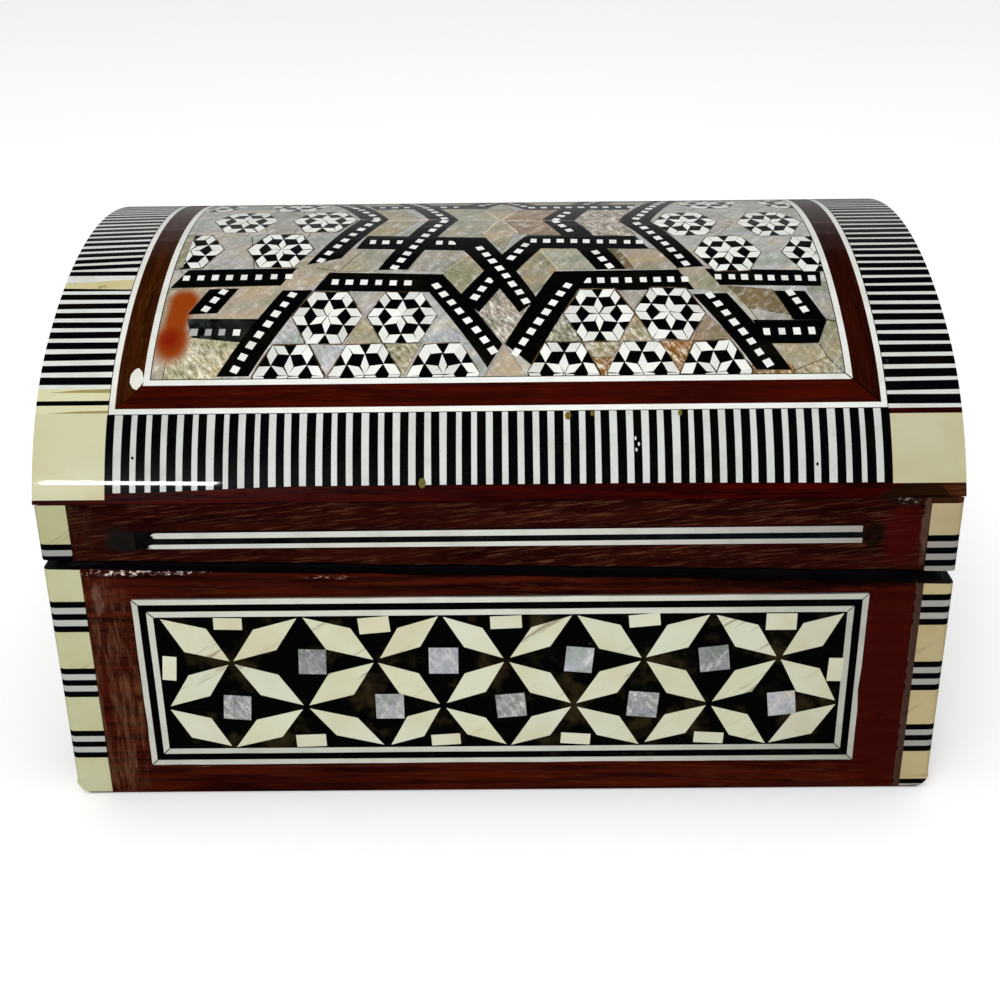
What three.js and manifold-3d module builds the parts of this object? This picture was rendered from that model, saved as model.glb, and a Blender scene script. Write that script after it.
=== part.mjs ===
// Inlaid trinket box with a domed lid that lifts off. A carcass of butt-jointed boards carries a bent vault,
// and bone, black resin, white strips and mother-of-pearl are set flush in shallow beds.
// Millimetres, +Z up, front towards -Y, origin at the middle of the underside.
import * as THREE from "three";
import { mergeVertices } from "three/addons/utils/BufferGeometryUtils.js";
import Module from "manifold-3d";

const wasm = await Module();
wasm.setup();

// Outline of the box
const WIDTH = 127;
const DEPTH = 104;
const WALL = 6;
const FLOOR = 4;

// Section of the vault, a three-centred arch that springs from the rails
const SPRING_Z = 47.7;
const SPRING_ANGLE = THREE.MathUtils.degToRad(67.5);
const SHOULDER_R = 35.5;
const CROWN_R = 75.5;
const SHOULDER_FACETS = 5;
const CROWN_FACETS = 8;

// Saw cut between base and lid, which runs down to the right, and the tongue that centres the lid
const RIM_Z = 36.5;
const SEAM_TILT = THREE.MathUtils.degToRad(1.6);
const SEAM_GAP = 1.6;
const TONGUE_T = 2.6;
const TONGUE_H = 3.4;
const TONGUE_PLAY = 0.3;

// Inlay, its bed and the glue lines
const INLAY_T = 1;
const GLUE = 0.15;
const JOINT = 0.1;
const LIFT = 0.4;

// Bandings on the upright corners
const BASE_BAND = 5.2;
const LID_BAND = 4.5;

// Framed mosaic of a base face
const STRING_W = 0.93;
const FRAME_MARGIN = 6.5;
const FRAME_LOW = 5.1;
const FRAME_HIGH = 32.9;
const MOSAIC_ROWS = 3;
const COLUMN_PITCH = 9.8;
const LOZENGE_LEAN_X = 0.64;
const LOZENGE_LEAN_Z = 0.26;
const TIP_LAP = 0.25;
const LOZENGE_T = 0.5;

// Stringing on the rails of the lid
const RAIL_STRING_Z = 42.2;
const RAIL_STRING_H = 2.5;
const RAIL_STRING_MARGIN = 13.5;

// Nested bands of the dome, from its edge inwards
const EDGE_WOOD = 2.2;
const STRIPE_BAND = 10;
const LINE_W = 0.9;
const WOOD_BAND = 3.5;

// Reach of a cutting block past whatever it cuts
const PAST = 60;

const AXIS_X = new THREE.Vector3(1, 0, 0);
const AXIS_Y = new THREE.Vector3(0, 1, 0);
const AXIS_Z = new THREE.Vector3(0, 0, 1);
// Stands a drawing up on the front: outline in X and Z, thickness towards the viewer
const UPRIGHT = new THREE.Matrix4().makeBasis(AXIS_X, AXIS_Z, AXIS_Y.clone().negate());
// Lays a section drawn in Y and Z along X
const ALONG = new THREE.Matrix4().makeBasis(AXIS_Y, AXIS_Z, AXIS_X);

const finish = (color, roughness) => new THREE.MeshStandardMaterial({ color, roughness, metalness: 0 });
const MATERIALS = {
  mahogany: finish(0x4a1a12, 0.3),
  bone: finish(0xcfc79a, 0.3),
  white: finish(0xd8d8d0, 0.3),
  black: finish(0x0a0c0a, 0.25),
  striped: finish(0x6d6d6a, 0.3),
  pearl: finish(0x9f9c98, 0.2),
};

// A closed geometry as a solid that can be joined and cut
function solid(geometry) {
  const bare = geometry.clone();
  bare.deleteAttribute("normal");
  bare.deleteAttribute("uv");
  const merged = mergeVertices(bare);
  const triVerts = new Uint32Array(merged.index.array);
  const vertProperties = merged.getAttribute("position").array;
  return new wasm.Manifold(new wasm.Mesh({ numProp: 3, vertProperties, triVerts }));
}

function geometryOf(body) {
  const { vertProperties, triVerts } = body.getMesh();
  const geometry = new THREE.BufferGeometry();
  geometry.setAttribute("position", new THREE.BufferAttribute(vertProperties, 3));
  geometry.setIndex(new THREE.BufferAttribute(triVerts, 1));
  return geometry;
}

function named(name, geometry, material) {
  const mesh = new THREE.Mesh(geometry, material);
  mesh.name = name;
  return mesh;
}

const joined = (bodies) => bodies.reduce((whole, body) => whole.add(body));

function rectangle(left, right, low, high) {
  const corners = [
    [left, low],
    [right, low],
    [right, high],
    [left, high],
  ];
  return new THREE.Shape(corners.map(([x, y]) => new THREE.Vector2(x, y)));
}

// Outline of a ring of strips of one width inside a rectangle
function ring(left, right, low, high, width) {
  const outline = rectangle(left, right, low, high);
  outline.holes.push(rectangle(left + width, right - width, low + width, high - width));
  return outline;
}

const drawn = (shape, depth) => new THREE.ExtrudeGeometry(shape, { depth, bevelEnabled: false });

// A drawing on a face, between two depths under its surface
function panel(shape, reach, near, far) {
  return solid(drawn(shape, far - near).translate(0, 0, reach - far).applyMatrix4(UPRIGHT));
}

// Slab between two heights over the rim, tilted with the saw cut and seen from a turned face
function seamSlab(low, high, halfX, halfY, turn = 0) {
  const block = new THREE.BoxGeometry(2 * halfX, 2 * halfY, high - low);
  block.translate(0, 0, (low + high) / 2).rotateY(SEAM_TILT);
  return solid(block.translate(0, 0, RIM_Z).rotateZ(-turn));
}

// Everything over the rim outside the tongue, which the base leaves to the lid
function aboveBase(turn) {
  const inside = seamSlab(-PAST, TONGUE_H, WIDTH / 2 - WALL + TONGUE_T, DEPTH / 2 - WALL + TONGUE_T, turn);
  return seamSlab(0, PAST, WIDTH, DEPTH, turn).subtract(inside);
}

// Everything under the lid, with room for the tongue in its rebated rim
function belowLid(turn) {
  const halfX = WIDTH / 2 - WALL + TONGUE_T + TONGUE_PLAY;
  const halfY = DEPTH / 2 - WALL + TONGUE_T + TONGUE_PLAY;
  const rebate = seamSlab(-PAST, TONGUE_H + JOINT, halfX, halfY, turn);
  return seamSlab(-PAST, SEAM_GAP, WIDTH, DEPTH, turn).add(rebate);
}

const FACES = [
  { name: "front", turn: 0, reach: DEPTH / 2, span: WIDTH / 2, board: WIDTH / 2 },
  { name: "right", turn: Math.PI / 2, reach: WIDTH / 2, span: DEPTH / 2, board: DEPTH / 2 - WALL - JOINT },
  { name: "back", turn: Math.PI, reach: DEPTH / 2, span: WIDTH / 2, board: WIDTH / 2 },
  { name: "left", turn: -Math.PI / 2, reach: WIDTH / 2, span: DEPTH / 2, board: DEPTH / 2 - WALL - JOINT },
];
const CORNERS = [
  { name: "front_left", x: -1, y: -1 },
  { name: "front_right", x: 1, y: -1 },
  { name: "back_left", x: -1, y: 1 },
  { name: "back_right", x: 1, y: 1 },
];

// Angle section that wraps an upright corner of the box, with legs of one length and thickness
function cornerAngle(corner, leg, thickness, low, high) {
  const outerX = WIDTH / 2;
  const outerY = DEPTH / 2;
  const path = [
    [outerX, outerY],
    [outerX - leg, outerY],
    [outerX - leg, outerY - thickness],
    [outerX - thickness, outerY - thickness],
    [outerX - thickness, outerY - leg],
    [outerX, outerY - leg],
  ];
  const outline = new THREE.Shape(path.map(([x, y]) => new THREE.Vector2(corner.x * x, corner.y * y)));
  return solid(drawn(outline, high - low).translate(0, 0, low));
}

// The four beds that the corner bandings sit in
function cornerBeds(leg, low, high) {
  const beds = CORNERS.map((corner) => cornerAngle(corner, leg + JOINT, INLAY_T + GLUE, low, high));
  return joined(beds);
}

function frameHalf(face) {
  return face.span - BASE_BAND - FRAME_MARGIN;
}

// Lozenge of bone from one node of the mosaic to the next, its shoulders leaning to the flat of the run
function lozenge(start, end, grow) {
  const run = end.clone().sub(start);
  const tip = run.clone().setLength(TIP_LAP + grow);
  const lean = new THREE.Vector2(LOZENGE_LEAN_X, LOZENGE_LEAN_Z);
  const shoulder = start.clone().add(run.clone().multiply(lean));
  const counter = end.clone().sub(run.clone().multiply(lean));
  const swell = shoulder.clone().sub(counter).setLength(grow);
  return new THREE.Shape([
    start.clone().sub(tip),
    shoulder.add(swell),
    end.clone().add(tip),
    counter.sub(swell),
  ]);
}

// Lozenges zigzag between rows of nodes, so that four of them meet at each inner node
function lozengeShapes(half, low, high, grow) {
  const columns = 2 * Math.round(half / COLUMN_PITCH);
  const pitch = (2 * half) / columns;
  const rise = (high - low) / MOSAIC_ROWS;
  const shapes = [];
  for (let row = 0; row < MOSAIC_ROWS; row++) {
    for (let column = 0; column < columns; column++) {
      const falls = (row + column) % 2 === 0;
      const top = high - row * rise;
      const left = -half + column * pitch;
      const start = new THREE.Vector2(left, falls ? top : top - rise);
      const end = new THREE.Vector2(left + pitch, falls ? top - rise : top);
      shapes.push(lozenge(start, end, grow));
    }
  }
  return shapes;
}

// One wall of the base with its framed mosaic, built as if it were the front
function baseFace(face) {
  const group = new THREE.Group();
  group.rotation.z = face.turn;
  const half = frameHalf(face);
  const { reach } = face;
  const board = panel(rectangle(-face.board, face.board, 0, RIM_Z + PAST / 2), reach, 0, WALL);
  const bed = rectangle(-half - JOINT, half + JOINT, FRAME_LOW - JOINT, FRAME_HIGH + JOINT);
  const wall = board
    .subtract(aboveBase(face.turn))
    .subtract(panel(bed, reach, -JOINT, INLAY_T + GLUE))
    .subtract(cornerBeds(BASE_BAND, LIFT - JOINT, PAST));
  group.add(named(`base_${face.name}_wall`, geometryOf(wall), MATERIALS.mahogany));

  const rings = [
    { part: "outer_white_string", material: MATERIALS.white },
    { part: "black_string", material: MATERIALS.black },
    { part: "inner_white_string", material: MATERIALS.white },
  ];
  rings.forEach(({ part, material }, index) => {
    const inset = index * (STRING_W + JOINT);
    const outline = ring(-half + inset, half - inset, FRAME_LOW + inset, FRAME_HIGH - inset, STRING_W);
    group.add(named(`${face.name}_${part}`, geometryOf(panel(outline, reach, 0, INLAY_T)), material));
  });

  const inset = rings.length * (STRING_W + JOINT);
  const edge = half - inset;
  const low = FRAME_LOW + inset;
  const high = FRAME_HIGH - inset;
  const inner = JOINT + TIP_LAP;
  const tiles = (grow, near, far) => {
    const shapes = lozengeShapes(edge - inner, low + inner, high - inner, grow);
    return joined(shapes.map((shape) => panel(shape, reach, near, far)));
  };
  const whole = panel(rectangle(-edge, edge, low, high), reach, 0, INLAY_T);
  const ground = whole.subtract(tiles(JOINT, -JOINT, LOZENGE_T + JOINT));
  group.add(named(`${face.name}_mosaic_ground`, geometryOf(ground), MATERIALS.black));
  const lattice = tiles(0, 0, LOZENGE_T);
  group.add(named(`${face.name}_bone_lozenges`, geometryOf(lattice), MATERIALS.bone));
  return group;
}

const floorBoard = () => {
  const x = WIDTH / 2 - WALL - JOINT;
  const y = DEPTH / 2 - WALL - JOINT;
  return named("base_floor", drawn(rectangle(-x, x, -y, y), FLOOR), MATERIALS.mahogany);
};

const CROWN_ANGLE = Math.asin((DEPTH / 2 - SHOULDER_R * Math.sin(SPRING_ANGLE)) / (CROWN_R - SHOULDER_R));
const CROWN_ARC = CROWN_R * CROWN_ANGLE;
const SHOULDER_ARC = SHOULDER_R * (SPRING_ANGLE - CROWN_ANGLE);
const ARC = 2 * (CROWN_ARC + SHOULDER_ARC);
const CROWN_RISE = CROWN_R * (1 - Math.cos(CROWN_ANGLE));
const SHOULDER_RISE = SHOULDER_R * (Math.cos(CROWN_ANGLE) - Math.cos(SPRING_ANGLE));
const CREST_Z = SPRING_Z + CROWN_RISE + SHOULDER_RISE;

// Point of the vault at an arc length from the front spring, set out along the normal
function vaultPoint(arc, out) {
  const side = arc < ARC / 2 ? -1 : 1;
  const run = Math.abs(arc - ARC / 2);
  const onCrown = run <= CROWN_ARC;
  const angle = onCrown ? run / CROWN_R : CROWN_ANGLE + (run - CROWN_ARC) / SHOULDER_R;
  const radius = out + (onCrown ? CROWN_R : SHOULDER_R);
  const shift = onCrown ? 0 : CROWN_R - SHOULDER_R;
  const y = shift * Math.sin(CROWN_ANGLE) + radius * Math.sin(angle);
  const z = CREST_Z - CROWN_R + shift * Math.cos(CROWN_ANGLE) + radius * Math.cos(angle);
  return new THREE.Vector2(side * y, z);
}

// Arc lengths of the facet lines, the same for the vault and all that lies on it
function facetLines() {
  const lines = [0];
  const spread = (length, count) => {
    const from = lines[lines.length - 1];
    for (let i = 1; i <= count; i++) lines.push(from + (length * i) / count);
  };
  spread(SHOULDER_ARC, SHOULDER_FACETS);
  spread(2 * CROWN_ARC, CROWN_FACETS);
  spread(SHOULDER_ARC, SHOULDER_FACETS);
  return lines;
}
const FACET_LINES = facetLines();

// Where the edge between two points meets a facet line, the same from either end
function crossing(a, b, level) {
  const [low, high] = a.y < b.y ? [a, b] : [b, a];
  return low.clone().lerp(high, (level - low.y) / (high.y - low.y)).setY(level);
}

// Part of a polygon on one side of a facet line
function clipped(polygon, level, side) {
  const kept = [];
  polygon.forEach((point, i) => {
    const next = polygon[(i + 1) % polygon.length];
    const here = side * (point.y - level);
    const there = side * (next.y - level);
    if (here >= 0) kept.push(point);
    if (here * there < 0) kept.push(crossing(point, next, level));
  });
  return kept;
}

// Bends a piece drawn flat, with X across, Y along the arc and Z out of the surface, over the vault
function bent(geometry) {
  const flat = (geometry.index ? geometry.toNonIndexed() : geometry).getAttribute("position");
  const points = [];
  for (let i = 0; i < flat.count; i += 3) {
    const triangle = [i, i + 1, i + 2].map((k) => new THREE.Vector3().fromBufferAttribute(flat, k));
    for (let k = 1; k < FACET_LINES.length; k++) {
      const strip = clipped(clipped(triangle, FACET_LINES[k - 1], 1), FACET_LINES[k], -1);
      for (let j = 2; j < strip.length; j++) points.push(strip[0], strip[j - 1], strip[j]);
    }
  }
  const placed = points.map((point) => {
    const { x: y, y: z } = vaultPoint(point.y, point.z);
    return new THREE.Vector3(point.x, y, z);
  });
  return mergeVertices(new THREE.BufferGeometry().setFromPoints(placed));
}

// A flat drawing of the dome between two depths under its surface
const flatPiece = (shape, near, far) => drawn(shape, far - near).translate(0, 0, -far);

const veneer = (name, shape, material) => named(name, bent(flatPiece(shape, 0, INLAY_T)), material);

// The bent panel, with a strip of bare wood at full height along each spring
function vault() {
  const half = WIDTH / 2;
  const bed = INLAY_T + GLUE;
  const edge = EDGE_WOOD - JOINT;
  const strips = [rectangle(-half, half, 0, edge), rectangle(-half, half, ARC - edge, ARC)];
  const panelBody = solid(flatPiece(rectangle(-half, half, 0, ARC), bed, WALL));
  const whole = joined([panelBody, ...strips.map((strip) => solid(flatPiece(strip, 0, bed + JOINT)))]);
  return named("lid_vault", bent(geometryOf(whole)), MATERIALS.mahogany);
}

// Bandings, blocks, lines and the field that cover the dome
function domeInlay() {
  const group = new THREE.Group();
  const x = WIDTH / 2;
  const low = EDGE_WOOD;
  const high = ARC - EDGE_WOOD;
  const inner = x - STRIPE_BAND;
  const frontEnd = low + STRIPE_BAND;
  const backStart = high - STRIPE_BAND;
  const front = rectangle(JOINT - inner, inner - JOINT, low, frontEnd);
  const back = rectangle(JOINT - inner, inner - JOINT, backStart, high);
  group.add(veneer("dome_front_stripes", front, MATERIALS.striped));
  group.add(veneer("dome_back_stripes", back, MATERIALS.striped));
  const edges = [
    { name: "left", from: -x, to: -inner },
    { name: "right", from: inner, to: x },
  ];
  for (const { name, from, to } of edges) {
    const arch = rectangle(from, to, frontEnd + JOINT, backStart - JOINT);
    group.add(veneer(`dome_${name}_stripes`, arch, MATERIALS.striped));
    const frontBlock = rectangle(from, to, low, frontEnd);
    group.add(veneer(`dome_front_${name}_block`, frontBlock, MATERIALS.bone));
    const backBlock = rectangle(from, to, backStart, high);
    group.add(veneer(`dome_back_${name}_block`, backBlock, MATERIALS.bone));
  }
  let inset = STRIPE_BAND + JOINT;
  const nested = [
    { name: "dome_outer_line", width: LINE_W, material: MATERIALS.white },
    { name: "dome_wood_band", width: WOOD_BAND, material: MATERIALS.mahogany },
    { name: "dome_inner_line", width: LINE_W, material: MATERIALS.white },
  ];
  for (const { name, width, material } of nested) {
    const outline = ring(inset - x, x - inset, low + inset, high - inset, width);
    group.add(veneer(name, outline, material));
    inset += width + JOINT;
  }
  const field = rectangle(inset - x, x - inset, low + inset, high - inset);
  group.add(veneer("dome_pearl_field", field, MATERIALS.pearl));
  return group;
}

// Rail under the vault, its top edge cut square to the springing
function railBody(reach, half, turn = 0) {
  const inner = WALL - reach;
  const section = [
    [-reach, RIM_Z - PAST / 2],
    [inner, RIM_Z - PAST / 2],
    [inner, SPRING_Z - JOINT - WALL / Math.tan(SPRING_ANGLE)],
    [-reach, SPRING_Z - JOINT],
  ];
  const outline = new THREE.Shape(section.map(([y, z]) => new THREE.Vector2(y, z)));
  return solid(drawn(outline, 2 * half).translate(0, 0, -half).applyMatrix4(ALONG).rotateZ(turn));
}

// Arched board that closes an end of the lid under the vault
function endBody(reach, half) {
  const arch = FACET_LINES.map((arc) => vaultPoint(arc, -WALL - JOINT));
  const shoulder = arch[0].y;
  const outline = new THREE.Shape([
    new THREE.Vector2(-half, RIM_Z - PAST / 2),
    new THREE.Vector2(half, RIM_Z - PAST / 2),
    new THREE.Vector2(half, shoulder),
    ...arch.filter((point) => Math.abs(point.x) < half).reverse(),
    new THREE.Vector2(-half, shoulder),
  ]);
  return panel(outline, reach, 0, WALL);
}

// One side of the lid below the vault, with its stringing, built as if it were the front
function lidFace(face) {
  const group = new THREE.Group();
  group.rotation.z = face.turn;
  const { reach } = face;
  const isRail = face.board === face.span;
  const half = face.span - RAIL_STRING_MARGIN;
  const low = RAIL_STRING_Z - RAIL_STRING_H / 2;
  const high = RAIL_STRING_Z + RAIL_STRING_H / 2;
  const bed = rectangle(-half - JOINT, half + JOINT, low - JOINT, high + JOINT);
  const body = (isRail ? railBody(reach, face.board) : endBody(reach, face.board))
    .subtract(belowLid(face.turn))
    .subtract(panel(bed, reach, -JOINT, INLAY_T + GLUE))
    .subtract(cornerBeds(LID_BAND, 0, PAST));
  const name = `lid_${face.name}_${isRail ? "rail" : "end"}`;
  group.add(named(name, geometryOf(body), MATERIALS.mahogany));
  const string = panel(rectangle(-half, half, low, high), reach, 0, INLAY_T);
  group.add(named(`${face.name}_rail_string`, geometryOf(string), MATERIALS.striped));
  return group;
}

// Bandings on the corners of the base and of the lid's rails
function cornerBandings() {
  const group = new THREE.Group();
  const overBase = aboveBase(0);
  const railPair = [0, Math.PI].map((turn) => railBody(DEPTH / 2, WIDTH / 2, turn));
  const rails = joined(railPair).subtract(belowLid(0));
  for (const corner of CORNERS) {
    const onBase = cornerAngle(corner, BASE_BAND, INLAY_T, LIFT, PAST).subtract(overBase);
    const onLid = cornerAngle(corner, LID_BAND, INLAY_T, 0, SPRING_Z).intersect(rails);
    group.add(
      named(`base_${corner.name}_banding`, geometryOf(onBase), MATERIALS.striped),
      named(`lid_${corner.name}_banding`, geometryOf(onLid), MATERIALS.striped),
    );
  }
  return group;
}

const box = new THREE.Group();
box.add(floorBoard(), cornerBandings(), vault(), domeInlay());
for (const face of FACES) box.add(baseFace(face), lidFace(face));

export default box;
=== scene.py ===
"""Inlaid trinket box with a domed lid that lifts off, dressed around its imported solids.

Sizes are in millimetres in the fields and in metres in the meshes. The front looks towards -Y.
"""

from __future__ import annotations

import logging
import math
import random
from dataclasses import dataclass, field, replace
from enum import Enum
from functools import cache
from typing import Callable, Iterable, Sequence

import bmesh
import bpy
from mathutils import Matrix, Vector
from mathutils.geometry import delaunay_2d_cdt, intersect_point_quad_2d


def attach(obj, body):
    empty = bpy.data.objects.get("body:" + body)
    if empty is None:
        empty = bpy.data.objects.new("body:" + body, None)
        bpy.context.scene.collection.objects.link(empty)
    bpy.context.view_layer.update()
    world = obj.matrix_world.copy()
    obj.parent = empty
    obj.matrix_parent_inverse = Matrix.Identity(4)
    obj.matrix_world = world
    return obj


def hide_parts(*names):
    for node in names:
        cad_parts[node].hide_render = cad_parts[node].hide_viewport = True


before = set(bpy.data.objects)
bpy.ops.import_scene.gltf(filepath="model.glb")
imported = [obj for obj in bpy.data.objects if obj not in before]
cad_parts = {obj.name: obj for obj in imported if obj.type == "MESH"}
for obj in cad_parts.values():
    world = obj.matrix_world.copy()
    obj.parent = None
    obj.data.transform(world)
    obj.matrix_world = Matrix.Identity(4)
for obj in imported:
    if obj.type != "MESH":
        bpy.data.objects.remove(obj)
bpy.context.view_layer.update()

LOG = logging.getLogger("inlaid_box")
MM = 0.001
WIDTH = 127.0
DEPTH = 104.0
INLAY_T = 1.0

UP = (0.0, 0.0, 1.0)
RIGHT = (1.0, 0.0, 0.0)

Point = tuple[float, float]
Colour = tuple[float, float, float]
Triple = tuple[float, float, float]
Place = Callable[[float, float], Vector]
Cell = tuple[int, list[Point]]
Socket = bpy.types.NodeSocket
Object = bpy.types.Object
Material = bpy.types.Material
WHITE: Colour = (1.0, 1.0, 1.0)


class Slot(Enum):
    """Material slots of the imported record."""

    MAHOGANY = "mahogany"
    BONE = "bone"
    WHITE = "white_strip"
    BLACK = "black_resin"
    STRIPED = "striped_banding"
    PEARL = "pearl_shell"


class Grain(Enum):
    """Ways that the grain of a board can run."""

    ALONG_X = "x"
    ALONG_Y = "y"
    ON_SHEET = "sheet"


class Tone(Enum):
    """Colours of single pieces of shell, with the amount of painted glints and shade that make them glitter.
    """

    GREY = (0.725, 0.735, 0.715, 0.15)
    PALE = (0.665, 0.66, 0.62, 0.2)
    LILAC = (0.70, 0.70, 0.68, 0.2)
    TAN = (0.70, 0.66, 0.58, 0.15)
    PINK = (0.63, 0.545, 0.455, 0.15)
    OLIVE = (0.645, 0.62, 0.515, 0.2)
    UMBER = (0.475, 0.42, 0.30, 0.1)
    GREEN = (0.66, 0.665, 0.59, 0.15)
    CREAM = (0.84, 0.81, 0.71, 0.0)
    GOLD = (0.68, 0.64, 0.515, 0.85)
    STRAW = (0.76, 0.735, 0.59, 1.0)
    GLITTER = (0.66, 0.63, 0.575, 1.0)
    BROWN = (0.36, 0.29, 0.19, 0.2)
    AMBER = (0.62, 0.42, 0.17, 0.9)
    BLUE = (0.735, 0.75, 0.755, 0.45)

    def tint(self, shade: float = 1.0) -> Colour:
        """Returns the linear colour, made lighter or darker."""
        r, g, b, _ = linear(self.value[:3])
        return (r * shade, g * shade, b * shade)


def linear(colour: Colour) -> tuple[float, ...]:
    """Returns a colour as seen on a screen as a linear one, with full alpha."""
    return (*(c / 12.92 if c <= 0.04045 else ((c + 0.055) / 1.055) ** 2.4 for c in colour), 1.0)


def smoothstep(value: float) -> float:
    """Returns a value eased from 0 to 1."""
    eased = min(1.0, max(0.0, value))
    return eased * eased * (3.0 - 2.0 * eased)


def rectangle(left: float, right: float, low: float, high: float) -> list[Point]:
    """Returns the corners of an upright rectangle."""
    return [(left, low), (right, low), (right, high), (left, high)]


def ribbon(start: Point, end: Point, side: Point) -> list[Point]:
    """Returns the corners of a strip along a line, which reaches as far as side on either hand."""
    ends = ((*start, -1.0), (*end, -1.0), (*end, 1.0), (*start, 1.0))
    return [(x + hand * side[0], y + hand * side[1]) for x, y, hand in ends]


def mitred(reach: float, low: float, high: float, near: float, far: float) -> list[tuple[Point, ...]]:
    """Draws the four mitred strips of a rectangular ring.

    Args:
        reach: Half width of the rectangle.
        low: Its lower edge.
        high: Its upper edge.
        near: Inset of the outer edges of the strips.
        far: Inset of their inner edges.

    Returns:
        The corners of each strip.
    """
    outer, inner = (rectangle(by - reach, reach - by, low + by, high - by) for by in (near, far))
    return [(outer[i], outer[(i + 1) % 4], inner[(i + 1) % 4], inner[i]) for i in range(4)]


def blob(centre: Point, radii: Point, rng: random.Random, sides: int = 10) -> list[Point]:
    """Draws an uneven round outline.

    Args:
        centre: Middle of the blob.
        radii: Half widths of the blob.
        rng: Source of the unevenness.
        sides: Number of corners.

    Returns:
        The corners in order.
    """
    corners = []
    for i in range(sides):
        turn = math.tau * i / sides
        reach = rng.uniform(0.9, 1.06)
        x, y = radii[0] * reach * math.cos(turn), radii[1] * reach * math.sin(turn)
        corners.append((centre[0] + x, centre[1] + y))
    return corners


def math_method(operation: str, swapped: bool = False) -> Callable[["Value", "Number"], "Value"]:
    """Makes an arithmetic method of a shader value.

    Args:
        operation: What the Math node does.
        swapped: Whether the value is the second of the two numbers.

    Returns:
        The method.
    """
    def method(value: "Value", other: "Number") -> "Value":
        """Returns the result of the Math node."""
        pair = (other, value) if swapped else (value, other)
        return value.shader.math(operation, *pair)

    return method


class Value:
    """A number socket of a shader that takes part in arithmetic."""

    def __init__(self, shader: "Shader", socket: Socket) -> None:
        """Wraps a socket of a shader."""
        self.shader = shader
        self.socket = socket

    __add__, __radd__ = math_method("ADD"), math_method("ADD", True)
    __sub__, __rsub__ = math_method("SUBTRACT"), math_method("SUBTRACT", True)
    __mul__, __rmul__ = math_method("MULTIPLY"), math_method("MULTIPLY", True)
    __truediv__, __rtruediv__ = math_method("DIVIDE"), math_method("DIVIDE", True)

    def eased(self, low: float, high: float) -> "Value":
        """Returns a smooth step, 0 below low and 1 above high."""
        inputs = {"Value": self, "From Min": low, "From Max": high}
        return self.shader.value("ShaderNodeMapRange", {"interpolation_type": "SMOOTHSTEP"}, inputs)


Number = Value | float


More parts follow.
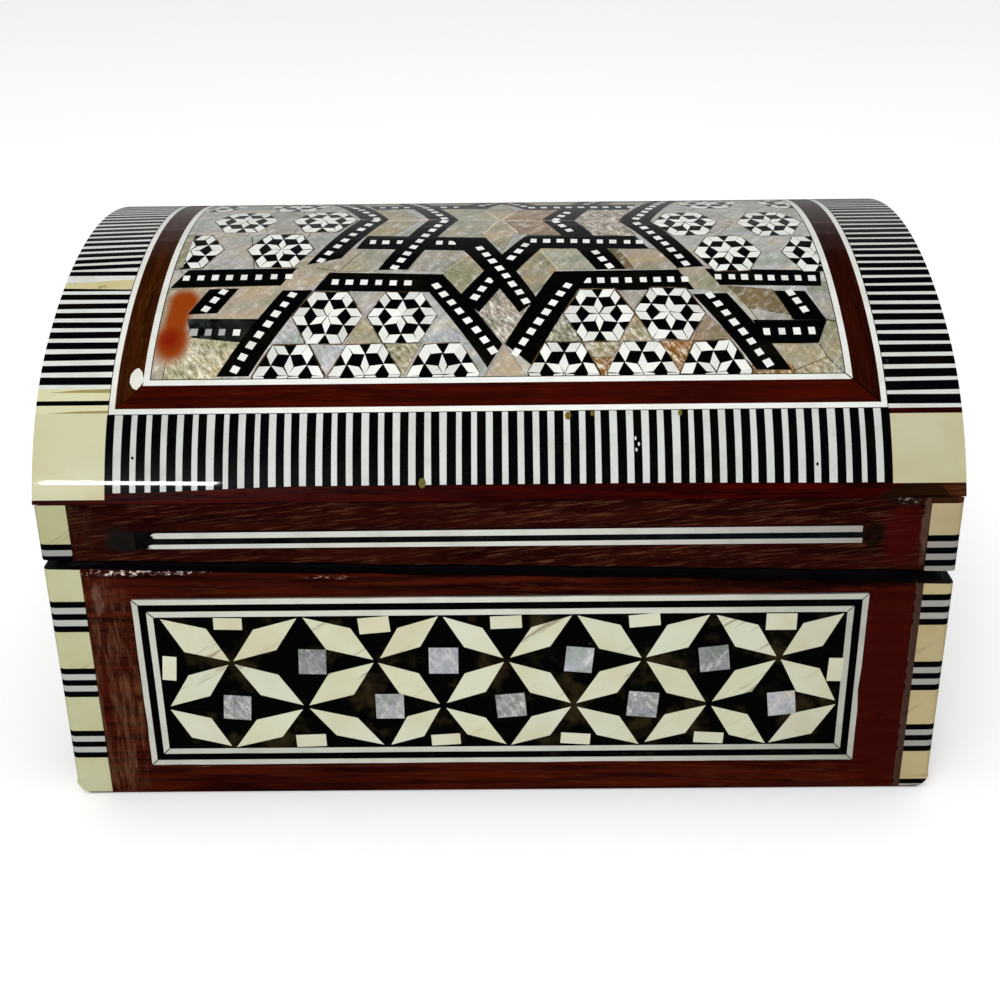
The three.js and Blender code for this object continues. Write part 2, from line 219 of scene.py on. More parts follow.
class Shader:
    """One material and the nodes in it."""

    def __init__(self, name: str) -> None:
        """Starts an empty material.

        Args:
            name: Its name.
        """
        self.material = bpy.data.materials.new(name)
        self.material.use_nodes = True
        self.tree = self.material.node_tree
        self.tree.nodes.clear()

    def node(self, kind: str, settings: dict | None = None, inputs: dict | None = None) -> bpy.types.Node:
        """Adds a node.

        Args:
            kind: Node type.
            settings: Properties of the node, set first; stops are those of a ramp.
            inputs: Values or links, by socket name or number.

        Returns:
            The node.
        """
        made = self.tree.nodes.new(kind)
        for key, setting in (settings or {}).items():
            if key == "stops":
                for index, (place, colour) in enumerate(setting):
                    elements = made.color_ramp.elements
                    element = elements[index] if index < len(elements) else elements.new(place)
                    element.position = place
                    element.color = colour
            else:
                setattr(made, key, setting)
        for key, fed in (inputs or {}).items():
            socket = made.inputs[key]
            fed = fed.socket if isinstance(fed, Value) else fed
            if isinstance(fed, Socket):
                self.tree.links.new(fed, socket)
            else:
                socket.default_value = fed
        return made

    def value(self, kind: str, settings: dict | None, inputs: dict) -> Value:
        """Returns the first output of a new node as a number."""
        return Value(self, self.node(kind, settings, inputs).outputs[0])

    def math(self, operation: str, first: Number, second: Number, third: Number = 0.5) -> Value:
        """Returns the result of a Math node on two or three numbers."""
        return self.value("ShaderNodeMath", {"operation": operation}, {0: first, 1: second, 2: third})

    def mix(self, factor: Number, first: object, second: object, blend: str = "MIX") -> Socket:
        """Mixes two colours or vectors.

        Args:
            factor: Share of the second.
            first: A socket, or a plain colour as seen on a screen.
            second: A socket, or a plain colour as seen on a screen.
            blend: How they are mixed.

        Returns:
            The mix.
        """
        inputs = {0: factor, 6: first, 7: second}
        inputs = {key: linear(fed) if isinstance(fed, tuple) else fed for key, fed in inputs.items()}
        return self.node("ShaderNodeMix", {"data_type": "RGBA", "blend_type": blend}, inputs).outputs[2]

    def noise(self, vector: object, scale: float, detail: float = 3.0, roughness: float = 0.55) -> Value:
        """Returns the factor of a Noise Texture."""
        inputs = {"Vector": vector, "Scale": scale, "Detail": detail, "Roughness": roughness}
        return self.value("ShaderNodeTexNoise", None, inputs)

    def stretched(self, vector: object, scale: Sequence[float], turn: float = 0.0, axis: str = "Z") -> Socket:
        """Turns coordinates about an axis and then stretches them.

        Args:
            vector: The coordinates.
            scale: How often each axis is repeated.
            turn: Angle in radians.
            axis: Letter of the axis.

        Returns:
            The new coordinates.
        """
        turns = [turn if name == axis else 0.0 for name in "XYZ"]
        inputs = {"Vector": vector, "Scale": [1.0 / share for share in scale], "Rotation": turns}
        return self.node("ShaderNodeMapping", {"vector_type": "TEXTURE"}, inputs).outputs[0]

    def place(self) -> Socket:
        """Returns the Object coordinates."""
        return self.node("ShaderNodeTexCoord").outputs["Object"]

    def flat(self) -> Socket:
        """Returns the coordinates on the sheet that a piece was cut from."""
        return self.node("ShaderNodeUVMap", {"uv_map": "flat"}).outputs[0]

    def tint(self) -> tuple[Socket, Value, Value]:
        """Returns the shade of a tile, its extra number and its brightness."""
        read = self.node("ShaderNodeAttribute", {"attribute_name": "tint"}).outputs
        return read["Color"], Value(self, read["Alpha"]), Value(self, read["Fac"])

    def spot(self, vector: object, centre: Sequence[float], radii: Sequence[float]) -> Value:
        """Measures how far a place is from a spot.

        Args:
            vector: Coordinates, in metres.
            centre: Middle of the spot, in millimetres.
            radii: Half sizes of the spot, in millimetres.

        Returns:
            0 in the middle and 1 on the edge.
        """
        inputs = {"Vector": vector, "Location": [c * MM for c in centre], "Scale": [r * MM for r in radii]}
        offset = self.node("ShaderNodeMapping", {"vector_type": "TEXTURE"}, inputs).outputs[0]
        length = self.node("ShaderNodeVectorMath", {"operation": "LENGTH"}, {0: offset})
        return Value(self, length.outputs["Value"])

    def grime(self, vector: object, ends: float, right: Number) -> Value:
        """Measures the darkening towards the ends of the box: dirt, with painted shade where the light falls
        off.

        Args:
            vector: Object coordinates, in metres.
            ends: Amount at both ends, dirt and painted shade.
            right: Further amount at the right end of the upright sides, painted shade.

        Returns:
            The amount of dirt and painted shade, from 0 to 1.
        """
        axes = self.node("ShaderNodeSeparateXYZ", None, {0: vector}).outputs
        x, z = Value(self, axes[0]), Value(self, axes[2])
        outward = self.math("ABSOLUTE", x, 0.0).eased(0.015, 0.062)
        return outward * ends + x.eased(0.0, 0.064) * (1.0 - z.eased(0.044, 0.05)) * right

    def surface(
        self, inputs: dict, gloss: "Gloss | None" = None, height: Value | None = None, bump: float = 0.0
    ) -> Material:
        """Ends the material in a Principled shader.

        Args:
            inputs: Values or links of the shader.
            gloss: The lacquer over it.
            height: What a Bump node reads.
            bump: Depth of the bump, in millimetres.

        Returns:
            The material.
        """
        if gloss is not None:
            inputs = {**inputs, **gloss.inputs()}
        if height is not None:
            relief = {"Height": height, "Strength": 1.0, "Distance": bump * MM}
            inputs = {**inputs, "Normal": self.node("ShaderNodeBump", None, relief).outputs[0]}
        shader = self.node("ShaderNodeBsdfPrincipled", None, inputs)
        self.node("ShaderNodeOutputMaterial", None, {"Surface": shader.outputs[0]})
        return self.material


@dataclass(frozen=True)
class Gloss:
    """Clear lacquer and what shines under it."""

    specular: float = 0.25
    coat: float = 0.5
    rough: float = 0.03

    def inputs(self) -> dict[str, float]:
        """Returns the constants of the Principled shader."""
        return {"Specular IOR Level": self.specular, "Coat Weight": self.coat, "Coat Roughness": self.rough}


class Mottle(Enum):
    """Ways that a patch can be broken up, as stretch along X and Z, fineness and threshold."""

    BLOTCH = (2.5, 1.0, 330.0, 0.3, 0.68)
    UPRIGHT = (9.0, 1.0, 170.0, 0.42, 0.72)
    FLECK = (1.0, 2.0, 1300.0, 0.55, 0.6)


@dataclass(frozen=True)
class Stain:
    """A patch of another colour in the front of a board, placed by X and Z. Most are stains, chips and
    filler; along the cut of the front wall there are also a painted shadow and painted glints.
    """

    centre: Point
    radii: Point
    colour: Colour = (0.08, 0.085, 0.075)
    strength: float = 1.0
    mottled: float = 0.35
    mottle: Mottle = Mottle.BLOTCH
    soak: float = 9.0


@dataclass(frozen=True)
class Mahogany:
    """Dark red-brown wood under gloss lacquer."""

    grain: Grain = Grain.ALONG_X
    stains: tuple[Stain, ...] = ()
    dark: Colour = (0.105, 0.006, 0.0)
    middle: Colour = (0.30, 0.072, 0.015)
    light: Colour = (0.42, 0.22, 0.10)
    scratch: float = 0.35
    spread: float = 0.2
    slant: float = 0.0
    calm: float = 0.0
    length: float = 18.0
    gloss: Gloss = Gloss(0.06, 0.5, 0.04)

    def material(self) -> Material:
        """Makes the wood, with grain, pores and patches, some of which are painted shade and painted glints.

        Returns:
            The material.
        """
        shader = Shader(f"mahogany_{self.grain.value}_{len(self.stains)}")
        on_sheet = self.grain is Grain.ON_SHEET
        place = shader.flat() if on_sheet else shader.place()
        if on_sheet:
            shade, turn, _ = shader.tint()
            place = shader.mix(turn, place, shader.stretched(place, (1.0, 1.0, 1.0), math.pi / 2))
        often = self.length
        across = (often, 1.0, often) if self.grain is Grain.ALONG_Y else (1.0, often, often)
        along = shader.stretched(place, across)
        streaks = shader.noise(along, 55.0, 5.0, 0.62).eased(0.3, 0.72)
        fine = shader.noise(shader.stretched(place, across, self.slant, "Y"), 230.0, 4.0, 0.62)
        pores = shader.noise(along, 330.0, 2.0, 0.5).eased(0.6, 0.72)
        broad = shader.noise(place, 45.0, 3.0).eased(0.42, 0.68)
        even = streaks * (1.0 - self.calm) + 0.6 * self.calm
        spread = broad * (1.0 - self.spread) + self.spread
        colour = shader.mix(even, self.dark, self.middle)
        colour = shader.mix(spread * fine.eased(0.52, 0.66) * self.scratch, colour, self.light)
        colour = shader.mix(pores * 0.55 * (1.0 - self.calm), colour, self.dark)
        if on_sheet:
            colour = shader.mix(1.0, colour, shade, "MULTIPLY")
        colour = self.stained(shader, place, colour)
        inputs = {"Base Color": colour, "Roughness": 0.3 + pores * 0.15}
        return shader.surface(inputs, self.gloss, streaks * 0.4 - pores, 0.02)

    def stained(self, shader: Shader, place: Socket, colour: Socket) -> Socket:
        """Lays the patches over the colour of the wood: stains and chips, and on the front wall also a
        painted shadow and painted glints.

        Args:
            shader: Shader of the board.
            place: Coordinates of the wood.
            colour: Colour of the clean wood.

        Returns:
            The colour with its patches.
        """
        ragged = (shader.noise(place, 520.0, 5.0, 0.7) - 0.5) * 1.5
        mottles = {}
        for stain in self.stains:
            if stain.mottle not in mottles:
                level, upright, fineness, low, top = stain.mottle.value
                broken = shader.noise(shader.stretched(place, (level, level, upright)), fineness, 4.0, 0.7)
                mottles[stain.mottle] = broken.eased(low, top)
            shows = (mottles[stain.mottle] * stain.mottled + (1.0 - stain.mottled)) * stain.strength
            (x, z), (wide, high) = stain.centre, stain.radii
            away = shader.spot(place, (x, -DEPTH / 2, z), (wide, stain.soak, high))
            inside = 1.0 - (away + ragged).eased(0.5, 1.05)
            colour = shader.mix(inside * shows, colour, stain.colour)
        return colour


@dataclass(frozen=True)
class SawCut:
    """Dark wood in the cut between base and lid: unpolished, and darker still as painted shade in the gap."""

    colour: Colour = (0.055, 0.018, 0.012)
    streak: Colour = (0.14, 0.045, 0.03)

    def material(self) -> Material:
        """Makes the dark wood, which is partly painted shade.

        Returns:
            The material.
        """
        shader = Shader("saw_cut")
        streaks = shader.noise(shader.stretched(shader.place(), (1.0, 1.0, 9.0)), 300.0, 3.0)
        colour = shader.mix(streaks.eased(0.4, 0.8) * 0.5, self.colour, self.streak)
        return shader.surface({"Base Color": colour, "Roughness": 0.6})


@dataclass(frozen=True)
class Bone:
    """Polished cream bone, yellowed in places and finely cracked along its fibres."""

    pale: Colour = (0.90, 0.895, 0.765)
    warm: Colour = (0.85, 0.80, 0.60)
    crack: Colour = (0.45, 0.34, 0.20)
    # Colour of the painted shade towards the right end of the upright sides.
    dirt: Colour = (0.30, 0.20, 0.12)

    def material(self) -> Material:
        """Makes the bone.

        Returns:
            The material.
        """
        shader = Shader("bone")
        place = shader.place()
        shade, cracked, _ = shader.tint()
        cloud = shader.noise(place, 95.0, 3.0).eased(0.38, 0.72)
        speckle = shader.noise(place, 900.0, 2.0).eased(0.5, 0.8)
        fibre = shader.noise(shader.stretched(place, (1.0, 14.0, 14.0), -0.6, "Y"), 60.0, 4.0, 0.6)
        crack = fibre.eased(0.60, 0.66) * cracked
        colour = shader.mix(cloud * 0.6 + speckle * 0.12, self.pale, self.warm)
        colour = shader.mix(crack * 0.55, colour, self.crack)
        # Painted shade towards the right end of the upright sides, where the light falls off.
        colour = shader.mix(shader.grime(place, 0.0, 0.15), colour, self.dirt)
        colour = shader.mix(1.0, colour, shade, "MULTIPLY")
        inputs = {"Base Color": colour, "Roughness": 0.3 + crack * 0.2}
        return shader.surface(inputs, Gloss(), cloud * 0.1 - crack, 0.02)


@dataclass(frozen=True)
class WhiteStrip:
    """Cool off-white strips and slips."""

    clean: Colour = (0.97, 0.975, 0.95)
    dull: Colour = (0.885, 0.89, 0.85)
    dust: Colour = (0.45, 0.42, 0.36)
    # Colour of the dirt towards the ends and of the painted shade towards the right.
    dirt: Colour = (0.30, 0.22, 0.15)

    def material(self) -> Material:
        """Makes the strip.

        Returns:
            The material.
        """
        shader = Shader("white_strip")
        place = shader.place()
        # The extra number of a tile sets how much painted shade it gets towards the right end of the upright
        # sides.
        shade, dirty, _ = shader.tint()
        cloud = shader.noise(place, 210.0, 4.0).eased(0.42, 0.75)
        dust = shader.noise(place, 1500.0, 2.0).eased(0.66, 0.8)
        colour = shader.mix(cloud * 0.7, self.clean, self.dull)
        colour = shader.mix(dust * 0.3, colour, self.dust)
        # Dirt and painted shade towards the ends, and painted shade towards the right end of the upright
        # sides.
        colour = shader.mix(shader.grime(place, 0.15, dirty * 0.3 + 0.2), colour, self.dirt)
        colour = shader.mix(1.0, colour, shade, "MULTIPLY")
        inputs = {"Base Color": colour, "Roughness": 0.3 + cloud * 0.1}
        return shader.surface(inputs, Gloss(), cloud, 0.006)


@dataclass(frozen=True)
class BlackResin:
    """Glossy black filler and strips, brownish where thin."""

    black: Colour = (0.014, 0.017, 0.014)
    brown: Colour = (0.21, 0.17, 0.075)
    haze: Colour = (0.36, 0.40, 0.37)
    fleck: Colour = (0.25, 0.25, 0.23)
    gloss: Gloss = Gloss(0.06, 0.4)

    def material(self) -> Material:
        """Makes the resin.

        Returns:
            The material.
        """
        shader = Shader("black_resin")
        place = shader.place()
        _, thin, clear = shader.tint()
        worn = shader.noise(place, 150.0, 5.0, 0.65)
        specks = shader.noise(place, 620.0, 4.0, 0.7).eased(0.46, 0.66)
        flecks = shader.noise(place, 900.0, 2.0).eased(0.7, 0.8)
        fogged = (1.0 - clear) * (worn.eased(0.38, 0.6) * 0.7 + specks * 0.6)
        colour = shader.mix(thin * worn.eased(0.5, 0.7), self.black, self.brown)
        colour = shader.mix(fogged, colour, self.haze)
        colour = shader.mix(flecks * 0.3, colour, self.fleck)
        inputs = {"Base Color": colour, "Roughness": 0.25 + worn * 0.15}
        return shader.surface(inputs, self.gloss, worn, 0.006)


@dataclass(frozen=True)
class Shell:
    """Mother-of-pearl with silky bands, some of it crinkled with painted glints and painted shade, with one
    run of orange resin.
    """

    bands: tuple[Colour, Colour, Colour] = ((0.81, 0.85, 0.78), (0.96, 0.94, 0.965), (1.0, 0.955, 0.88))
    pale_vein: Colour = (0.93, 0.93, 0.91)
    dark_vein: Colour = (0.34, 0.30, 0.22)
    # Colours of the painted glints on crinkled shell and of the painted shade in the hollows between them.
    flash: Colour = (0.99, 0.98, 0.90)
    hollow: Colour = (0.23, 0.19, 0.10)
    rim: Colour = (0.66, 0.50, 0.37)
    amber: Colour = (0.57, 0.235, 0.02)
    core: Colour = (0.50, 0.09, 0.0)
    runs: tuple[tuple[Point, Point], ...] = (
        ((-45.9, 24.6), (2.9, 4.5)), ((-45.8, 29.0), (2.1, 6.0)), ((-45.3, 32.7), (2.7, 3.4)),
    )
    heart: tuple[Point, Point] = ((-46.2, 24.9), (2.6, 3.9))
    gloss: Gloss = Gloss(0.1)

    def material(self) -> Material:
        """Makes the shell.

        Returns:
            The material.
        """
        shader = Shader("pearl_shell")
        flat = shader.flat()
        shade, glitter, _ = shader.tint()
        silk = shader.noise(shader.stretched(flat, (1.0, 1.7, 1.0), 0.5), 120.0, 4.0).eased(0.3, 0.7)
        veins = shader.noise(shader.stretched(flat, (1.0, 2.4, 1.0), 0.9), 330.0, 5.0, 0.7)
        crinkle = shader.noise(shader.stretched(flat, (1.0, 2.6, 1.0), -1.0), 620.0, 5.0, 0.8)
        # A broad painted sheen that brightens the painted glints and lightens the painted shade.
        sheen = shader.noise(shader.stretched(flat, (1.0, 2.0, 1.0), -0.8), 150.0, 3.0).eased(0.36, 0.64)
        # Painted glints on crinkled shell, with painted shade in the hollows between them.
        flash = crinkle.eased(0.5, 0.6) * glitter * (sheen * 0.8 + 0.4)
        hollow = (1.0 - crinkle.eased(0.38, 0.5)) * glitter * (1.1 - sheen * 0.5)
        stops = [(i / 2, linear(band)) for i, band in enumerate(self.bands)]
        banded = shader.node("ShaderNodeValToRGB", {"stops": stops}, {0: silk}).outputs[0]
        colour = shader.mix(1.0, shade, banded, "MULTIPLY")
        colour = shader.mix(veins.eased(0.5, 0.7) * 0.48, colour, self.pale_vein)
        colour = shader.mix((1.0 - veins.eased(0.3, 0.46)) * 0.45, colour, self.dark_vein)
        colour = shader.mix(flash * 0.8, colour, self.flash)
        colour = shader.mix(hollow * 0.72, colour, self.hollow)
        colour = self.resin(shader, flat, colour)
        inputs = {"Base Color": colour, "Roughness": 0.26 + flash * 0.1}
        return shader.surface(inputs, self.gloss, crinkle * glitter + silk * 0.1, 0.02)

    def resin(self, shader: Shader, flat: Socket, colour: Socket) -> Socket:
        """Lays the run of orange resin over the shell.

        Args:
            shader: Shader of the shell.
            flat: Coordinates of the sheet.
            colour: Colour of the clean shell.

        Returns:
            The colour with the resin on it.
        """
        edge: Number = 9.0
        for centre, radii in self.runs:
            edge = shader.math("SMOOTH_MIN", shader.spot(flat, (*centre, 0.0), (*radii, 1.0)), edge, 0.5)
        depth = 1.0 - edge + (shader.noise(flat, 300.0, 3.0) - 0.5) * 0.3
        centre, radii = self.heart
        heart = 1.0 - shader.spot(flat, (*centre, 0.0), (*radii, 1.0))
        colour = shader.mix(depth.eased(-0.2, 0.35) * 0.85, colour, self.rim)
        colour = shader.mix(depth.eased(0.02, 0.5), colour, self.amber)
        return shader.mix(heart.eased(0.1, 0.9), colour, self.core)


class Bench:
    """Work on meshes that all the sub-assemblies share."""

    weld: float = 0.002
    level: float = math.radians(0.4)
    sharp: float = math.radians(40.0)
    smooth: float = math.radians(32.0)
    foot_cuts: tuple[float, ...] = (0.1, 0.25, 0.5, 0.9, 1.4, 2.0, 2.8)

    @staticmethod
    @cache
    def finish(finish: object) -> Material:
        """Returns the material of a finish, which is made once."""
        return finish.material()

    @staticmethod
    def link(name: str, data: bpy.types.ID) -> Object:
        """Puts a mesh, a lamp or a camera into the scene.

        Args:
            name: Name of the object.
            data: What it holds.

        Returns:
            The object.
        """
        made = bpy.data.objects.new(name, data)
        bpy.context.scene.collection.objects.link(made)
        return made

    @staticmethod
    def take(piece: Object) -> bpy.types.Mesh:
        """Makes a piece the only one selected.

        Args:
            piece: The piece.

        Returns:
            Its mesh.
        """
        bpy.ops.object.select_all(action="DESELECT")
        piece.select_set(True)
        bpy.context.view_layer.objects.active = piece
        return piece.data

    @classmethod
    def edit(cls, piece: Object) -> None:
        """Opens a piece in edit mode with all of it selected.

        Args:
            piece: The piece.
        """
        cls.take(piece)
        bpy.ops.object.mode_set(mode="EDIT")
        bpy.ops.mesh.select_mode(type="EDGE")
        bpy.ops.mesh.select_all(action="SELECT")

    @staticmethod
    def done() -> None:
        """Leaves edit mode."""
        bpy.ops.object.mode_set(mode="OBJECT")

    @classmethod
    def slice(cls, piece: Object, normal: Sequence[float], places: Iterable[float]) -> None:
        """Cuts the faces of a piece where planes cross it.

        Args:
            piece: The piece.
            normal: Axis that the planes stand across.
            places: Where they cross the axis, in millimetres.
        """
        cls.edit(piece)
        for place in places:
            bpy.ops.mesh.select_all(action="SELECT")
            bpy.ops.mesh.bisect(plane_co=[part * place * MM for part in normal], plane_no=normal)
        cls.done()

    @classmethod
    def apply(cls, piece: Object, kind: str, **settings: object) -> None:
        """Adds a modifier to a piece and applies it.

        Args:
            piece: The piece.
            kind: Type of the modifier.
            settings: Properties of the modifier.
        """
        cls.take(piece)
        bpy.ops.object.modifier_add(type=kind)
        modifier = piece.modifiers[-1]
        for key, setting in settings.items():
            setattr(modifier, key, setting)
        bpy.ops.object.modifier_apply(modifier=modifier.name)

    @classmethod
    def from_node(cls, node: str, name: str) -> Object:
        """Copies a solid into a new piece, merged and freed of its triangles.

        Args:
            node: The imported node.
            name: Name of the piece.

        Returns:
            The piece.
        """
        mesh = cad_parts[node].data.copy()
        mesh.materials.clear()
        piece = cls.link(name, mesh)
        cls.edit(piece)
        bpy.ops.mesh.remove_doubles(threshold=cls.weld * MM)
        bpy.ops.mesh.dissolve_limited(angle_limit=cls.level)
        cls.done()
        return piece

    @classmethod
    def wear(cls, piece: Object, width: float, wanted: Callable[[Vector, Vector], bool]) -> None:
        """Rounds the chosen sharp edges of a piece.

        Args:
            piece: The piece.
            width: Width of the rounding, in millimetres.
            wanted: Says from an edge's two ends, in millimetres, whether it is worn.
        """
        cls.edit(piece)
        bpy.ops.mesh.select_all(action="DESELECT")
        work = bmesh.from_edit_mesh(piece.data)
        chosen = []
        for edge in work.edges:
            sharp = len(edge.link_faces) == 2 and edge.calc_face_angle(0.0) > cls.sharp
            if sharp and wanted(edge.verts[0].co / MM, edge.verts[1].co / MM):
                edge.select_set(True)
                chosen.append(edge)
        bmesh.update_edit_mesh(piece.data)
        if chosen:
            bpy.ops.mesh.bevel(offset=width * MM, segments=3, profile=0.5, clamp_overlap=True)
        cls.done()

    @classmethod
    def round_foot(cls, piece: Object, ends: float = 2.8, faces: float = 0.5) -> None:
        """Rounds the outside of a piece towards the underside of the box.

        Args:
            piece: A board or banding of the base.
            ends: Radius of the rounding at the left and right, in millimetres.
            faces: Radius of the rounding at the front and back, in millimetres.
        """
        cls.slice(piece, UP, cls.foot_cuts)
        for vertex in piece.data.vertices:
            for axis, reach, radius in ((0, WIDTH / 2 * MM, ends), (1, DEPTH / 2 * MM, faces)):
                rise = radius - vertex.co.z / MM
                if rise > 0.0 and abs(vertex.co[axis]) > reach - 0.05 * MM:
                    inset = radius - math.sqrt(max(0.0, radius * radius - rise * rise))
                    vertex.co[axis] -= math.copysign(inset * MM, vertex.co[axis])

    @classmethod
    def hand_in(
        cls, piece: Object, slot: Slot, finishes: Sequence[object], nodes: Sequence[str] = ()
    ) -> None:
        """Dresses a piece, sets it on its body and reports it.

        Args:
            piece: The piece, in place.
            slot: Slot of the record that it belongs to; not used.
            finishes: Its finishes, in the order of its material numbers.
            nodes: Solids that it stands for.
        """
        mesh = cls.take(piece)
        for finish in finishes:
            mesh.materials.append(cls.finish(finish))
        bpy.ops.object.shade_smooth_by_angle(angle=cls.smooth)
        if not mesh.color_attributes or not mesh.uv_layers:
            cls.apply(piece, "WEIGHTED_NORMAL", keep_sharp=True)
        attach(piece, "root")
        if nodes:
            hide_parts(*nodes)
        LOG.info("%s: %d faces", piece.name, len(mesh.polygons))


@dataclass
class Vault:
    """Three-centred arch of the lid, measured by arc length from the front spring."""

    spring_z: float = 47.7
    spring_angle: float = math.radians(67.5)
    shoulder_r: float = 35.5
    crown_r: float = 75.5

    def __post_init__(self) -> None:
        """Works out where crown and shoulders meet, the whole arc length and the height of the crest."""
        reach = DEPTH / 2 - self.shoulder_r * math.sin(self.spring_angle)
        self.crown_angle = math.asin(reach / (self.crown_r - self.shoulder_r))
        self.crown_arc = self.crown_r * self.crown_angle
        self.arc = 2 * (self.crown_arc + self.shoulder_r * (self.spring_angle - self.crown_angle))
        crown = self.crown_r * (1 - math.cos(self.crown_angle))
        shoulder = self.shoulder_r * (math.cos(self.crown_angle) - math.cos(self.spring_angle))
        self.crest_z = self.spring_z + crown + shoulder

    def angle(self, along: float) -> float:
        """Finds how far the surface leans from level.

        Args:
            along: Arc length from the front spring.

        Returns:
            The angle in radians, positive towards the back.
        """
        run = along - self.arc / 2
        if abs(run) <= self.crown_arc:
            return run / self.crown_r
        past = (abs(run) - self.crown_arc) / self.shoulder_r
        return math.copysign(self.crown_angle + past, run)

    def point(self, across: float, along: float, out: float = 0.0) -> Vector:
        """Finds a place on the vault.

        Args:
            across: Distance to the right of the middle.
            along: Arc length from the front spring.
            out: Distance out of the surface.

        Returns:
            The place in metres.
        """
        angle = self.angle(along)
        on_crown = abs(angle) <= self.crown_angle
        radius = out + (self.crown_r if on_crown else self.shoulder_r)
        shift = 0.0 if on_crown else self.crown_r - self.shoulder_r
        lean = math.copysign(self.crown_angle, angle)
        y = shift * math.sin(lean) + radius * math.sin(angle)
        z = self.crest_z - self.crown_r + shift * math.cos(lean) + radius * math.cos(angle)
        return Vector((across, y, z)) * MM

    def normal(self, along: float) -> Vector:
        """Returns the outward normal at an arc length from the front spring."""
        angle = self.angle(along)
        return Vector((0.0, math.sin(angle), math.cos(angle)))


VAULT = Vault()


@dataclass(frozen=True)
class Side:
    """One upright face of the box."""

    name: str
    turn: float
    reach: float
    span: float

    def point(self, across: float, up: float, out: float = 0.0) -> Vector:
        """Returns a place on the face in metres."""
        front = Vector((across, -self.reach - out, up)) * MM
        return Matrix.Rotation(self.turn, 3, "Z") @ front


SIDES = (
    Side("front", 0.0, DEPTH / 2, WIDTH / 2),
    Side("right", math.pi / 2, WIDTH / 2, DEPTH / 2),
    Side("back", math.pi, DEPTH / 2, WIDTH / 2),
    Side("left", -math.pi / 2, WIDTH / 2, DEPTH / 2),
)


Kind = tuple[Slot, object, tuple[str, ...]]


@dataclass(frozen=True)
class Tile:
    """One cut piece of inlay on a sheet, with its own shade."""

    outline: tuple[Point, ...]
    piece: str
    tint: tuple[float, float, float, float]


@dataclass
class Sheet:
    """Inlay laid out flat, where a later tile takes the place of what lies under it."""

    prefix: str
    tiles: list[Tile] = field(default_factory=list)
    tolerance: float = 0.0005
    digits: int = 4

    def lay(self, piece: str, outline: Iterable[Point], tint: Colour = WHITE, extra: float = 0.0) -> None:
        """Lays a tile.

        Args:
            piece: Name of the piece that the tile is part of, without the prefix.
            outline: Corners in order.
            tint: Shade of the tile.
            extra: A further number that the finish reads.
        """
        corners = tuple(outline)
        turn = sum(a[0] * b[1] - b[0] * a[1] for a, b in zip(corners, corners[1:] + corners[:1]))
        self.tiles.append(Tile(corners if turn > 0.0 else corners[::-1], piece, (*tint, extra)))

    def cut(self, levels: Sequence[float] = ()) -> dict[str, list[Cell]]:
        """Cuts every tile back to what shows of it.

        Args:
            levels: Heights at which the sheet is also cut, so that it can bend.

        Returns:
            For each piece, the number of the tile and the corners of each cell.
        """
        points: list[Vector] = []
        rings: list[list[int]] = []
        for tile in self.tiles:
            rings.append(list(range(len(points), len(points) + len(tile.outline))))
            points.extend(Vector(corner) for corner in tile.outline)
        left = min(point.x for point in points)
        right = max(point.x for point in points)
        lines = []
        for level in levels:
            lines.append((len(points), len(points) + 1))
            points.extend((Vector((left, level)), Vector((right, level))))
        places, _, cells, _, _, owners = delaunay_2d_cdt(points, lines, rings, 3, self.tolerance, True)
        cut: dict[str, list[Cell]] = {}
        for cell, inside in zip(cells, owners):
            if inside:
                top = max(inside)
                corners = [(places[i].x, places[i].y) for i in cell]
                cut.setdefault(self.tiles[top].piece, []).append((top, corners))
        return cut

    def welded(self, cells: list[Cell]) -> tuple[list[Point], list[tuple[int, list[int]]]]:
        """Joins the corners that the cells of one tile share.

        Args:
            cells: Number of the tile and corners of each cell.

        Returns:
            The corners, and for each face the number of its tile and those of its corners.
        """
        numbers: dict[tuple[int, float, float], int] = {}
        flat: list[Point] = []
        faces = []
        for tile, corners in cells:
            face = []
            for x, y in corners:
                key = (tile, round(x, self.digits), round(y, self.digits))
                if key not in numbers:
                    numbers[key] = len(flat)
                    flat.append((x, y))
                if numbers[key] not in face:
                    face.append(numbers[key])
            if len(face) > 2:
                faces.append((tile, face))
        return flat, faces

    def make(self, name: str, cells: list[Cell], place: Place) -> Object:
        """Makes a piece of solid tiles from its cells.

        Args:
            name: Name of the piece.
            cells: Number of the tile and corners of each cell.
            place: Gives the place of a point of the sheet.

        Returns:
            The piece.
        """
        flat, faces = self.welded(cells)
        mesh = bpy.data.meshes.new(name)
        mesh.from_pydata([place(x, y) for x, y in flat], [], [face for _, face in faces])
        mesh.uv_layers.new(name="flat")
        mesh.color_attributes.new("tint", "FLOAT_COLOR", "CORNER")
        layout, shade = mesh.uv_layers["flat"], mesh.color_attributes["tint"]
        for polygon, (tile, _) in zip(mesh.polygons, faces):
            for corner in polygon.loop_indices:
                x, y = flat[mesh.loops[corner].vertex_index]
                layout.data[corner].uv = (x * MM, y * MM)
                shade.data[corner].color = self.tiles[tile].tint
        piece = Bench.link(name, mesh)
        Bench.apply(piece, "SOLIDIFY", thickness=INLAY_T * MM, offset=-1.0)
        return piece

    def dress(self, kinds: dict[str, Kind], place: Place, levels: Sequence[float] = ()) -> list[Object]:
        """Cuts the sheet and makes and hands in its pieces.

        Args:
            kinds: Slot, finish and replaced solids of each piece, without the prefix.
            place: Gives the place of a point of the sheet.
            levels: Heights at which the sheet is also cut.

        Returns:
            The pieces.
        """
        pieces = []
        for name, cells in self.cut(levels).items():
            slot, finish, nodes = kinds[name]
            pieces.append(self.make(f"{self.prefix}_{name}", cells, place))
            Bench.hand_in(pieces[-1], slot, [finish], [f"{self.prefix}_{node}" for node in nodes])
        return pieces


